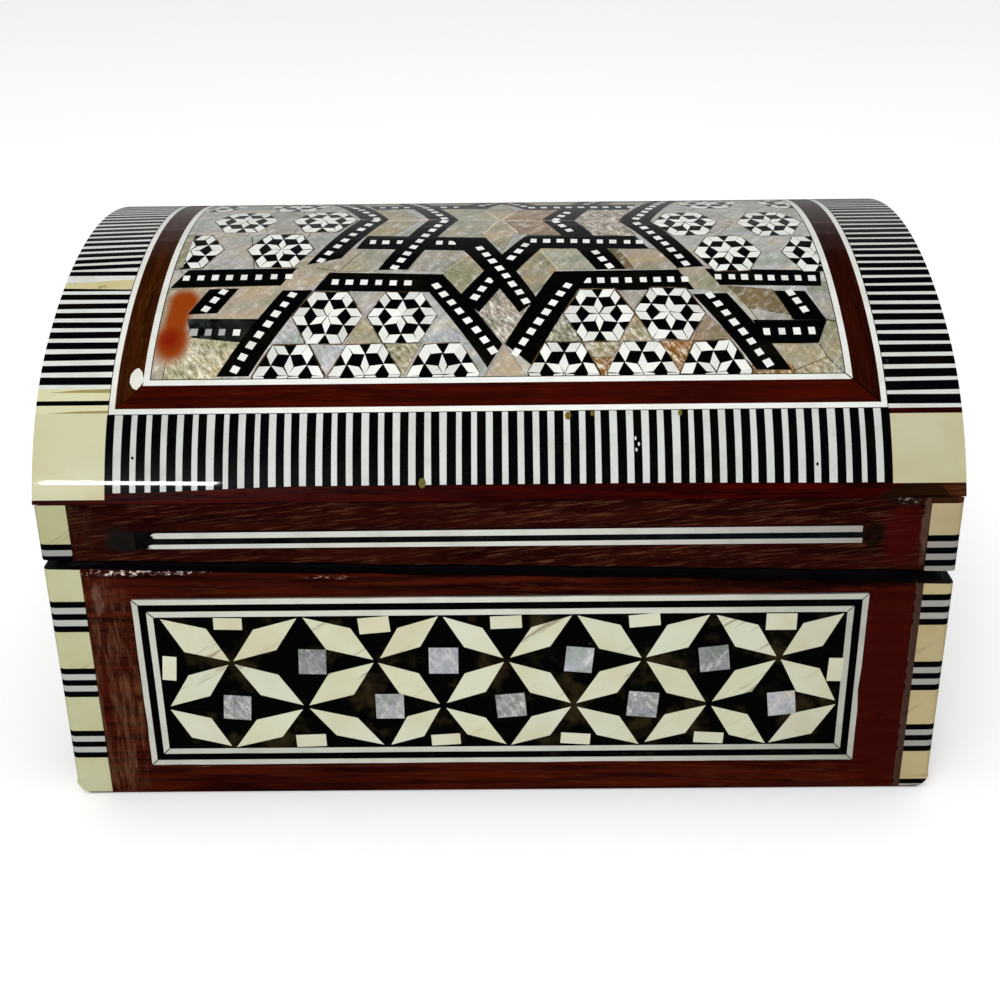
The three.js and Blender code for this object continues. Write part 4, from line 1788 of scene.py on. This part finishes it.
    def arched_band(self, near: float, far: float, left: bool) -> None:
        """Lays the level stripes of one arched edge.

        Args:
            near: Its left side.
            far: Its right side.
            left: Whether it is the left edge, which has two bone wedges.
        """
        start, end = self.band_high, self.arc - self.band_high
        along = start + 0.6
        while along < end - 0.8:
            pitch = 2.05 - 0.15 * smoothstep((along - 33.0) / 8.0)
            wide = pitch * (self.rng.uniform(0.56, 0.65) if left else self.rng.uniform(0.63, 0.72))
            lean = self.rng.uniform(-0.05, 0.05) + (0.35 if left and 40.0 < along < 80.0 else 0.0)
            patched = left and (along < self.mend + 0.1 or 35.7 < along < 38.4)
            if not patched:
                low, high = along - lean, along + lean
                stripe = [(near, low), (far, high), (far, high + wide), (near, low + wide)]
                self.sheet.lay("black_stripes", stripe, extra=0.05)
            along += pitch
        if left:
            self.mends(near, far)

    def mends(self, near: float, far: float) -> None:
        """Lays the two bone strips that have replaced stripes of the left arch.

        Args:
            near: Left side of the band.
            far: Right side of the band.
        """
        clean, yellow, dirty = self.mend_tints
        self.sheet.lay("corner_blocks", rectangle(near, far, self.band_high, self.mend), clean)
        self.sheet.lay("black_stripes", rectangle(near, far, 13.9, 14.6))
        (low, high), (far_low, far_high) = self.wedge
        wedge = [(near, low), (far, far_low), (far, far_high), (near, high)]
        self.sheet.lay("corner_blocks", wedge, yellow, 1.0)
        for low, thin in self.slivers:
            sliver = [(near + 1.5, low), (far, low - 0.1), (far, low + thin), (far - 4.0, low + thin * 0.8)]
            self.sheet.lay("corner_blocks", sliver, dirty, 1.0)

    def blocks(self) -> None:
        """Lays the four bone corner blocks."""
        half = WIDTH / 2
        for hand in (-1.0, 1.0):
            near, far = sorted((hand * (self.edge + 0.08), hand * half))
            low, high = (0.6, self.band_high + 0.3) if hand < 0 else (1.9, 11.6)
            for back in (False, True):
                outline = self.turned(rectangle(near, far, low, high), back)
                self.sheet.lay("corner_blocks", outline, self.block_tints[hand > 0])

    def flaws(self) -> None:
        """Lays the filler, chips and specks that age has left."""
        self.sheet.lay("white_lines", blob(*self.filler, self.rng, 18), self.filler_tint)
        edge = WIDTH / 2
        for foot, top, tint in self.chips:
            self.sheet.lay("edge_wood", [(foot, 0.0), (edge, 0.0), (edge, 1.9), (top, 1.9)], tint)
        for x, along, size in self.smears:
            smear = blob((x, along), (0.7 * size, size), self.rng, 8)
            self.sheet.lay("corner_blocks", smear, self.smear_tint, 1.0)
        for place in self.specks:
            self.sheet.lay("black_stripes", blob(place, (0.2, 0.25), self.rng, 7))
        for place in self.nicks:
            self.sheet.lay("white_stripes", blob(place, (0.16, 0.3), self.rng, 6), self.stripe_tint)


@dataclass
class ShellField:
    """The field of shell with its black straps and star tiles."""

    dome: Dome
    half: float = 48.6
    low: float = 17.0
    joint_w: float = 0.16
    margin: float = 0.13
    straps: tuple[Strap, ...] = (
        Strap(((-45.9, 40.9), (-29.7, 41.1), (-31.7, 36.5), (-47.9, 36.1)), (-45.95, 38.7), (-30.8, 38.8), 8),
        Strap(((-42, 35.8), (-37.7, 35.9), (-40.2, 30.2), (-44.4, 30)), (-40, 35.1), (-41.9, 31.2), 3),
        Strap(((-44.4, 29.1), (-34, 28.9), (-36.2, 24.2), (-43.2, 25.2)), (-43, 26.3), (-37, 26.2), 4, 0.5),
        Strap(((-31.3, 35.3), (-26.8, 35.3), (-34.5, 18.2), (-39, 18.2)), (-29.8, 34.2), (-36.5, 19.4), 8),
        Strap(((-20, 51.7), (-1.8, 50.5), (-4.5, 45.9), (-21.5, 46.9)), (-21.1, 49.4), (-2.75, 48.5), 10),
        Strap(((-10.9, 59), (-6.1, 59), (-13.2, 40.4), (-17.7, 40.3)), (-8.5, 58.1), (-15.2, 41), 9),
        Strap(((-21.8, 59.6), (-17.2, 59.6), (-23.4, 43.9), (-28.4, 42)), (-19.25, 59), (-26.45, 43.4), 8),
        Strap(((4.3, 50.9), (9.2, 50.9), (-2.6, 29.8), (-5.5, 33.5)), (4.3, 47.6), (-3.2, 33.2), 8),
        Strap(((-7.3, 50.4), (-1.8, 50.5), (5.9, 32.6), (3.2, 29.7)), (-2.6, 46.7), (4.2, 32.2), 8),
        Strap(((7.1, 57.9), (12.2, 57.8), (19.1, 39.9), (14.7, 39.8)), (9.3, 57.4), (16.7, 40.8), 9),
        Strap(((4.5, 51.3), (21.2, 50.6), (23, 45.9), (6, 46.4)), (5.6, 49.2), (21.8, 48.3), 9),
        Strap(((19.1, 57.4), (24.1, 57.2), (30.7, 40.5), (26.7, 40)), (22, 56), (28.1, 41.4), 8),
        Strap(((-24.8, 39.8), (-8, 39), (-10, 34.5), (-26.8, 35.1)), (-23.8, 37.3), (-10.9, 36.7), 7),
        Strap(((-12.5, 39.1), (-8, 39), (0.8, 23.4), (-1.3, 19.2)), (-8.9, 36), (-0.6, 22.3), 8),
        Strap(((9.7, 39.5), (26.7, 39.6), (28.7, 34.5), (11.4, 34.5)), (11.1, 37), (27.6, 37.1), 9),
        Strap(((8.5, 39.5), (14.1, 39.4), (4.8, 19.6), (1.1, 23.4)), (10.3, 35.8), (2.7, 21.9), 8),
        Strap(((30.7, 39.8), (47.6, 39), (47.2, 35), (32.5, 35.5)), (32.5, 37.6), (46.1, 37), 8),
        Strap(((36.3, 27.7), (46.8, 27.5), (45.1, 23), (38.1, 23)), (38, 25.35), (44.4, 25.35), 4),
        Strap(((40.1, 34), (44.6, 33.9), (46.8, 27.5), (42.1, 27.6)), (42.5, 33.5), (43.9, 29.8), 3),
        Strap(((28.3, 33.4), (33.3, 33.6), (40.8, 18.4), (35.9, 18.5)), (30.8, 33.1), (37.6, 19.6), 8),
    )
    stars: tuple[Triple, ...] = (
        *((x, 18.2, 1.24) for x in (-29, -18.4, -7.5, 9.3, 20.3, 30.4)),
        (-24.3, 29.3, 1.25), (-13.6, 29.2, 1.23), (14.6, 29.3, 1.25), (24.7, 29.5, 1.25),
        (-46.7, 46.9, 1.28), (-32.9, 47, 1.28), (34.7, 44.6, 1.25), (47.8, 44.2, 1.25),
    )
    middle_stars: tuple[Point, ...] = ((-40, 59.3), (-27.4, 59.2), (29.5, 56.2), (42.6, 55.8))
    middle_rise: float = 1.28
    pieces: tuple[tuple[Tone, tuple[Point, ...]], ...] = (
        (Tone.LILAC, ((-47, 56), (-38, 52), (-36, 40), (-47, 40))),
        (Tone.GREY, ((-38, 52), (-29, 55), (-30, 41), (-36, 40))),
        (Tone.PALE, ((-37, 59.3), (-31, 59.3), (-31.5, 53), (-36, 53.5))),
        (Tone.LILAC, ((-29, 53.5), (-22.5, 56), (-27, 44.5), (-30, 44))),
        (Tone.TAN, ((-22, 45), (-29.5, 44.6), (-31.5, 38), (-46, 36.2), (-44, 28), (-33, 28), (-24, 40))),
        (Tone.OLIVE, ((-48.6, 36), (-44.5, 36), (-44.5, 29), (-43.5, 24), (-48.6, 24))),
        (Tone.STRAW, ((-48.6, 26), (-35, 26), (-38.5, 17), (-46.5, 17), (-46.2, 22))),
        (Tone.TAN, ((-48.6, 26), (-46.2, 22), (-46.5, 17), (-48.6, 17))),
        (Tone.OLIVE, ((-18.5, 59.4), (-12, 59.4), (-16, 51), (-21, 51))),
        (Tone.GREY, ((-12.2, 58.6), (-10, 58.6), (-13.5, 51), (-16.2, 51))),
        (Tone.TAN, ((-22.5, 47), (-20, 47), (-23.5, 40), (-27, 41))),
        (Tone.GREEN, ((-20, 47), (-15, 47), (-18, 40), (-23.5, 40))),
        (Tone.GREEN, ((-7, 59.4), (0.5, 59), (-2.2, 50.5), (-11, 50.5))),
        (Tone.PALE, ((-12, 47), (-3.5, 46), (-7.6, 39.8), (-14, 40))),
        (Tone.OLIVE, ((-4.4, 44.4), (-1, 41), (-5.5, 33), (-8.2, 38.6), (-7.6, 39.8))),
        (Tone.TAN, ((0.5, 59), (3, 53), (1, 46), (-2.5, 51.5))),
        (Tone.PINK, ((0.5, 58.8), (8, 58.2), (10.5, 51), (3.5, 51.5))),
        (Tone.GLITTER, ((-4.5, 32.5), (0.5, 39.5), (5.5, 31.5), (1, 23.4))),
        (Tone.TAN, ((-2.2, 17), (1, 23.6), (4.5, 17))),
        (Tone.OLIVE, ((2.5, 43), (6.2, 46.6), (9, 40.2), (7.4, 36.5), (4.5, 33))),
        (Tone.GREEN, ((6.2, 46.6), (13, 46), (15.5, 39.8), (9, 40))),
        (Tone.UMBER, ((16.5, 46), (18.2, 46), (20.3, 39.8), (18, 39.8))),
        (Tone.TAN, ((18.2, 46), (24, 46), (27, 39.8), (20.3, 39.8))),
        (Tone.GLITTER, ((12.5, 57.6), (19.5, 57.2), (21.5, 50.4), (14.5, 51))),
        (Tone.TAN, ((26.5, 40.2), (31, 40.6), (35.5, 33), (37.5, 27.7), (33.5, 33.8), (28.2, 34.8))),
        (Tone.LILAC, ((30, 52.5), (34.5, 51), (37, 56), (33.5, 59))),
        (Tone.UMBER, ((33.5, 35.3), (40, 34.4), (42, 28.6), (36, 30.2))),
        (Tone.PALE, ((36, 30.2), (42, 28.6), (42, 27.2), (37, 27.5))),
        (Tone.PALE, ((44.6, 36), (48.6, 36), (48.6, 27), (46.8, 27.6))),
        (Tone.OLIVE, ((46.8, 27.6), (48.6, 27), (48.6, 17), (46, 20.5), (45.2, 22.9))),
        (Tone.OLIVE, ((37, 23.2), (45.2, 22.9), (46, 20.5), (40.5, 18))),
        (Tone.GOLD, ((40.5, 18), (46, 20.5), (48.6, 17), (40, 17))),
        (Tone.BLUE, ((-33.5, 30), (-29, 30), (-27, 23.5), (-34, 22.5))),
        (Tone.LILAC, ((-21.8, 35), (-16, 35), (-18.9, 29.2))),
        (Tone.OLIVE, ((-18.9, 29.2), (-16, 23.6), (-21.5, 23.6))),
        (Tone.BLUE, ((-26.5, 23.8), (-21, 23.6), (-23.7, 18))),
        (Tone.GOLD, ((-15.8, 23.6), (-10.5, 23.8), (-13, 18))),
        (Tone.BLUE, ((-8.6, 29.2), (-11, 24), (-3.5, 23.6))),
        (Tone.GLITTER, ((9.6, 29.3), (12, 23.8), (6, 23.5))),
        (Tone.GOLD, ((19.7, 29.4), (22.4, 23.8), (16.9, 23.8))),
        (Tone.PALE, ((19.7, 29.4), (22.5, 34.6), (17, 34.6))),
        (Tone.GOLD, ((12, 23.6), (17.6, 23.6), (14.8, 18))),
        (Tone.AMBER, ((13.2, 20.9), (16.5, 20.9), (15.4, 17.2), (14.2, 17.2))),
        (Tone.PINK, ((29.6, 29.4), (33.5, 24), (27.4, 23.6))),
        (Tone.AMBER, ((22.6, 23.8), (27.5, 23.8), (26.2, 17), (23.6, 17))),
        (Tone.AMBER, ((34.8, 19.3), (41, 19.3), (41.6, 17), (34.8, 17))),
    )
    joints: tuple[tuple[Point, Point, float], ...] = (
        ((-17.5, 58.9), (-9, 58.8), 0.5), ((-6.5, 58.8), (8, 58.5), 0.45),
        ((12, 58.2), (20, 57.6), 0.3), ((0.5, 58.9), (-2.1, 52), 0.38),
        ((0.5, 58.9), (3.2, 52.2), 0.42), ((-4.3, 44.6), (-7.6, 39.8), 0.24),
        ((6.2, 46.5), (9, 40.1), 0.3), ((9, 40.1), (7.4, 36.4), 0.24),
        ((-4.4, 44.4), (-1.4, 40.8), 0.2),
    )

    def lay(self) -> None:
        """Lays ground, joints, straps and stars of both halves."""
        self.ground()
        for back in (False, True):
            for number, strap in enumerate(self.straps):
                self.strap(strap, self.straps[number + 1:], back)
            for x, along, rise in self.stars:
                self.star((x, along), rise, back)
        for place in self.middle_stars:
            self.star(place, self.middle_rise, False)
        for back in (False, True):
            self.shell(Tone.OLIVE, rectangle(-self.half, -46.9, 41.5, 52.5), back)

    def carried(self, outline: Iterable[Point], back: bool) -> list[Point]:
        """Returns an outline, mirrored into the back half if asked."""
        return [self.dome.mirrored(point) for point in outline] if back else list(outline)

    def shell(self, tone: Tone, outline: Iterable[Point], back: bool) -> None:
        """Lays one piece of shell.

        Args:
            tone: Its colour.
            outline: Its corners in the front half.
            back: Whether it is mirrored into the back half.
        """
        tint = tone.tint(self.dome.rng.uniform(0.93, 1.07))
        corners = self.carried(outline, back)
        if tone is not Tone.CREAM:
            self.dome.sheet.lay("shell_ground", corners, Tone.BROWN.tint())
            x, y = (sum(axis) / len(corners) for axis in zip(*corners))
            reach = sum(math.hypot(a - x, b - y) for a, b in corners) / len(corners)
            shrink = 1.0 - self.joint_w / reach
            corners = [(x + (a - x) * shrink, y + (b - y) * shrink) for a, b in corners]
        self.dome.sheet.lay("shell_ground", corners, tint, tone.value[3])

    def ground(self) -> None:
        """Lays the pieces of shell that the straps and stars stand on, and their pale joints."""
        whole = rectangle(-self.half, self.half, self.low, VAULT.arc - self.low)
        self.dome.sheet.lay("shell_ground", whole, Tone.GREY.tint(), 0.1)
        for back in (False, True):
            for tone, outline in self.pieces:
                self.shell(tone, outline, back)
            for start, end, wide in self.joints:
                self.joint(start, end, wide, back)

    def joint(self, start: Point, end: Point, wide: float, back: bool) -> None:
        """Lays one thin pale joint.

        Args:
            start: Its first end.
            end: Its last end.
            wide: Its width.
            back: Whether it is mirrored into the back half.
        """
        run = Vector(end) - Vector(start)
        side = Vector((-run.y, run.x)).normalized() * wide / 2
        self.shell(Tone.CREAM, ribbon(start, end, side), back)

    def strap(self, strap: Strap, over: Sequence[Strap], back: bool) -> None:
        """Lays one strap and those of its squares that no other strap hides.

        Args:
            strap: The strap.
            over: Straps that pass over it.
            back: Whether it is mirrored into the back half.
        """
        sheet, rng = self.dome.sheet, self.dome.rng
        clear = 1.0 - 0.25 * strap.haze
        sheet.lay("straps", self.carried(strap.corners, back), (clear, clear, clear), 0.12)
        if strap.haze:
            clear = 1.0 - strap.haze
            a, b, c, d = (Vector(corner) for corner in strap.corners)
            worn = [(p.x, p.y) for p in (a, a.lerp(b, 0.34), d.lerp(c, 0.4), d)]
            sheet.lay("straps", self.carried(worn, back), (clear, clear, clear), 0.12)
        first, last = Vector(strap.first), Vector(strap.last)
        run = (last - first) / (strap.count - 1)
        level = abs(run.y) < 0.3 * abs(run.x)
        along = run.normalized()
        across = Vector((-along.y, along.x))
        long_half, wide_half = (0.5, 0.66) if level else (0.62, 0.54)
        for i in range(strap.count):
            middle = first + run * i + Vector((rng.uniform(-0.08, 0.08), rng.uniform(-0.06, 0.06)))
            a = along * long_half * rng.uniform(0.9, 1.12)
            b = across * wide_half * rng.uniform(0.92, 1.08)
            corners = [middle - a - b, middle + a - b, middle + a + b, middle - a + b]
            tone = rng.uniform(0.93, 1.06) * (1.0 if i == strap.count - 1 else 1.0 - 1.05 * strap.haze)
            if sum(any(other.covers(corner) for other in over) for corner in corners) > 1:
                continue
            tint = (tone, tone, tone * 1.01)
            sheet.lay("strap_squares", self.carried([(p.x, p.y) for p in corners], back), tint)

    def star(self, centre: Point, rise: float, back: bool) -> None:
        """Lays one star tile: a black web with rhombs of white in it.

        Args:
            centre: Its middle in the front half.
            rise: How much taller than regular it lies.
            back: Whether it is mirrored into the back half.
        """
        sheet, rng = self.dome.sheet, self.dome.rng
        middle = self.dome.mirrored(centre) if back else centre
        unit = self.dome.star_r / 3.0
        turn = rng.uniform(-0.045, 0.045)

        def spot(distance: float, angle: float) -> Vector:
            """Returns a place of the tile from its distance in small units and its angle."""
            return Vector((math.cos(angle + turn), math.sin(angle + turn))) * distance * unit

        def laid(piece: str, corners: list[Vector], shrink: float, tint: Colour) -> None:
            """Lays corners around the middle, drawn in by a little.

            Args:
                piece: Piece that they belong to.
                corners: Places from the middle of the tile.
                shrink: How far they are drawn in.
                tint: Their colour.
            """
            heart = sum(corners, Vector((0.0, 0.0))) / len(corners)
            outline = []
            for corner in corners:
                reach = corner - heart
                pulled = heart + reach * max(0.0, 1.0 - shrink / reach.length)
                outline.append((middle[0] + pulled.x, middle[1] + pulled.y * rise))
            sheet.lay(piece, outline, tint)

        hexagon = [spot(3.0, math.radians(60.0 * i)) for i in range(6)]
        laid("shell_ground", hexagon, -self.margin * rng.uniform(0.6, 2.0), Tone.BROWN.tint())
        laid("star_webs", hexagon, 0.0, WHITE)
        sixth = math.radians(60.0)
        for i in range(6):
            vertex = math.radians(60.0 * i)
            tip = spot(math.sqrt(3.0), vertex + sixth / 2)
            rhombs = [[Vector((0.0, 0.0)), spot(0.86, vertex), tip, spot(0.86, vertex + sixth)]]
            for hand in (-1.0, 1.0):
                side = spot(math.sqrt(3.0), vertex + hand * sixth / 2)
                out = spot(1.0, vertex)
                rhombs.append([spot(2.0, vertex), spot(3.0, vertex), side + out, side])
            for corners in rhombs:
                # Stars towards the crest get lighter tones: painted light where the top of the dome catches
                # more light.
                tone = rng.uniform(0.76, 1.02) if centre[1] < 40.0 else rng.uniform(0.96, 1.06)
                shifts = [Vector((rng.uniform(-0.11, 0.11), rng.uniform(-0.09, 0.09))) for _ in corners]
                uneven = [corner + shift for corner, shift in zip(corners, shifts)]
                laid("star_rhombs", uneven, self.dome.web, (tone, tone, tone))


@dataclass(frozen=True)
class Studio:
    """Floor, camera and soft light."""

    eye: Triple = (1.897, -229.793, 129.117)
    yaw: float = math.radians(-0.5215)
    pitch: float = math.radians(24.573)
    roll: float = math.radians(-0.75)
    lens: float = 51.83
    floor: float = 9.0
    floor_tints: tuple[Colour, Colour] = ((0.94, 0.94, 0.94), (0.96, 0.96, 0.96))
    floor_glow: float = 0.26
    sky_glow: float = 0.483
    lamps: tuple[tuple[str, Triple, Point, float, bool], ...] = (
        ("key", (-0.55, -0.95, 0.85), (0.5, 0.5), 2.07, False),
        ("overhead", (0.0, -0.1, 1.3), (1.2, 1.2), 8.05, False),
        ("glint", (-0.345, -1.01, 0.615), (0.155, 0.032), 1.3, True),
    )
    cards: tuple[Triple, ...] = ((-0.1, 0.76, 0.3), (0.76, 1.04, 0.19), (1.04, 1.4, 0.07))
    card_width: float = 3.2
    card_y: float = 1.6
    aim: Triple = (0.0, 0.0, 0.04)

    def build(self) -> None:
        """Sets up the floor, the camera, the lights and the sky."""
        self.camera()
        self.ground()
        self.sky()
        for lamp in self.lamps:
            self.lamp(*lamp)
        for number, (low, high, glow) in enumerate(self.cards):
            size = (self.card_width, high - low)
            power = glow * math.pi * size[0] * size[1]
            self.lamp(f"back_card_{number}", (0.0, self.card_y, (low + high) / 2), size, power, True)
        bpy.context.scene.view_settings.view_transform = "Standard"

    def camera(self) -> None:
        """Places the camera where the photograph was taken."""
        data = bpy.data.cameras.new("view")
        data.lens = self.lens
        data.sensor_width = 36.0
        data.clip_start = 0.01
        camera = Bench.link("view", data)
        camera.matrix_world = Matrix.Translation(Vector(self.eye) * MM)
        for angle, axis in ((-self.yaw, "Z"), (math.pi / 2 - self.pitch, "X"), (self.roll, "Z")):
            camera.matrix_world = camera.matrix_world @ Matrix.Rotation(angle, 4, axis)
        bpy.context.scene.camera = camera

    def ground(self) -> None:
        """Lays a pale floor."""
        bpy.ops.object.select_all(action="DESELECT")
        bpy.ops.mesh.primitive_plane_add(size=self.floor)
        floor = bpy.context.object
        floor.name = "floor"
        shader = Shader("floor")
        shade = shader.noise(shader.place(), 3.0, 2.0)
        colour = shader.mix(shade, *self.floor_tints)
        glow = {"Emission Color": (*WHITE, 1.0), "Emission Strength": self.floor_glow}
        floor.data.materials.append(shader.surface({"Base Color": colour, "Roughness": 0.9, **glow}))
        floor.visible_glossy = False

    def sky(self) -> None:
        """Sets an even white sky that lights but is not mirrored."""
        world = bpy.data.worlds.new("sky")
        bpy.context.scene.world = world
        world.use_nodes = True
        light = world.node_tree.nodes["Background"].inputs
        light["Color"].default_value = (*WHITE, 1.0)
        light["Strength"].default_value = self.sky_glow
        world.cycles_visibility.glossy = False

    def lamp(self, name: str, place: Triple, size: Point, power: float, mirrored: bool) -> None:
        """Hangs a soft lamp that looks at the box.

        Args:
            name: Name of the lamp.
            place: Where it hangs, in metres.
            size: Its width and height, in metres.
            power: Its power in watts.
            mirrored: Whether gloss shows it.
        """
        data = bpy.data.lights.new(name, "AREA")
        data.shape = "RECTANGLE"
        data.size, data.size_y = size
        data.energy = power
        lamp = Bench.link(name, data)
        aim = Vector(self.aim) - Vector(place)
        lamp.matrix_world = Matrix.Translation(place) @ aim.to_track_quat("-Z", "Y").to_matrix().to_4x4()
        lamp.visible_glossy = mirrored
        lamp.visible_camera = False


def main() -> None:
    """Builds the box piece by piece."""
    logging.basicConfig(level=logging.INFO, format="%(name)s %(message)s")
    Carcass().build()
    Bandings().build()
    for side in SIDES:
        FaceMosaic(side).build()
    RailStrings().build()
    Dome().build()
    Studio().build()


if __name__ == "__main__":
    main()
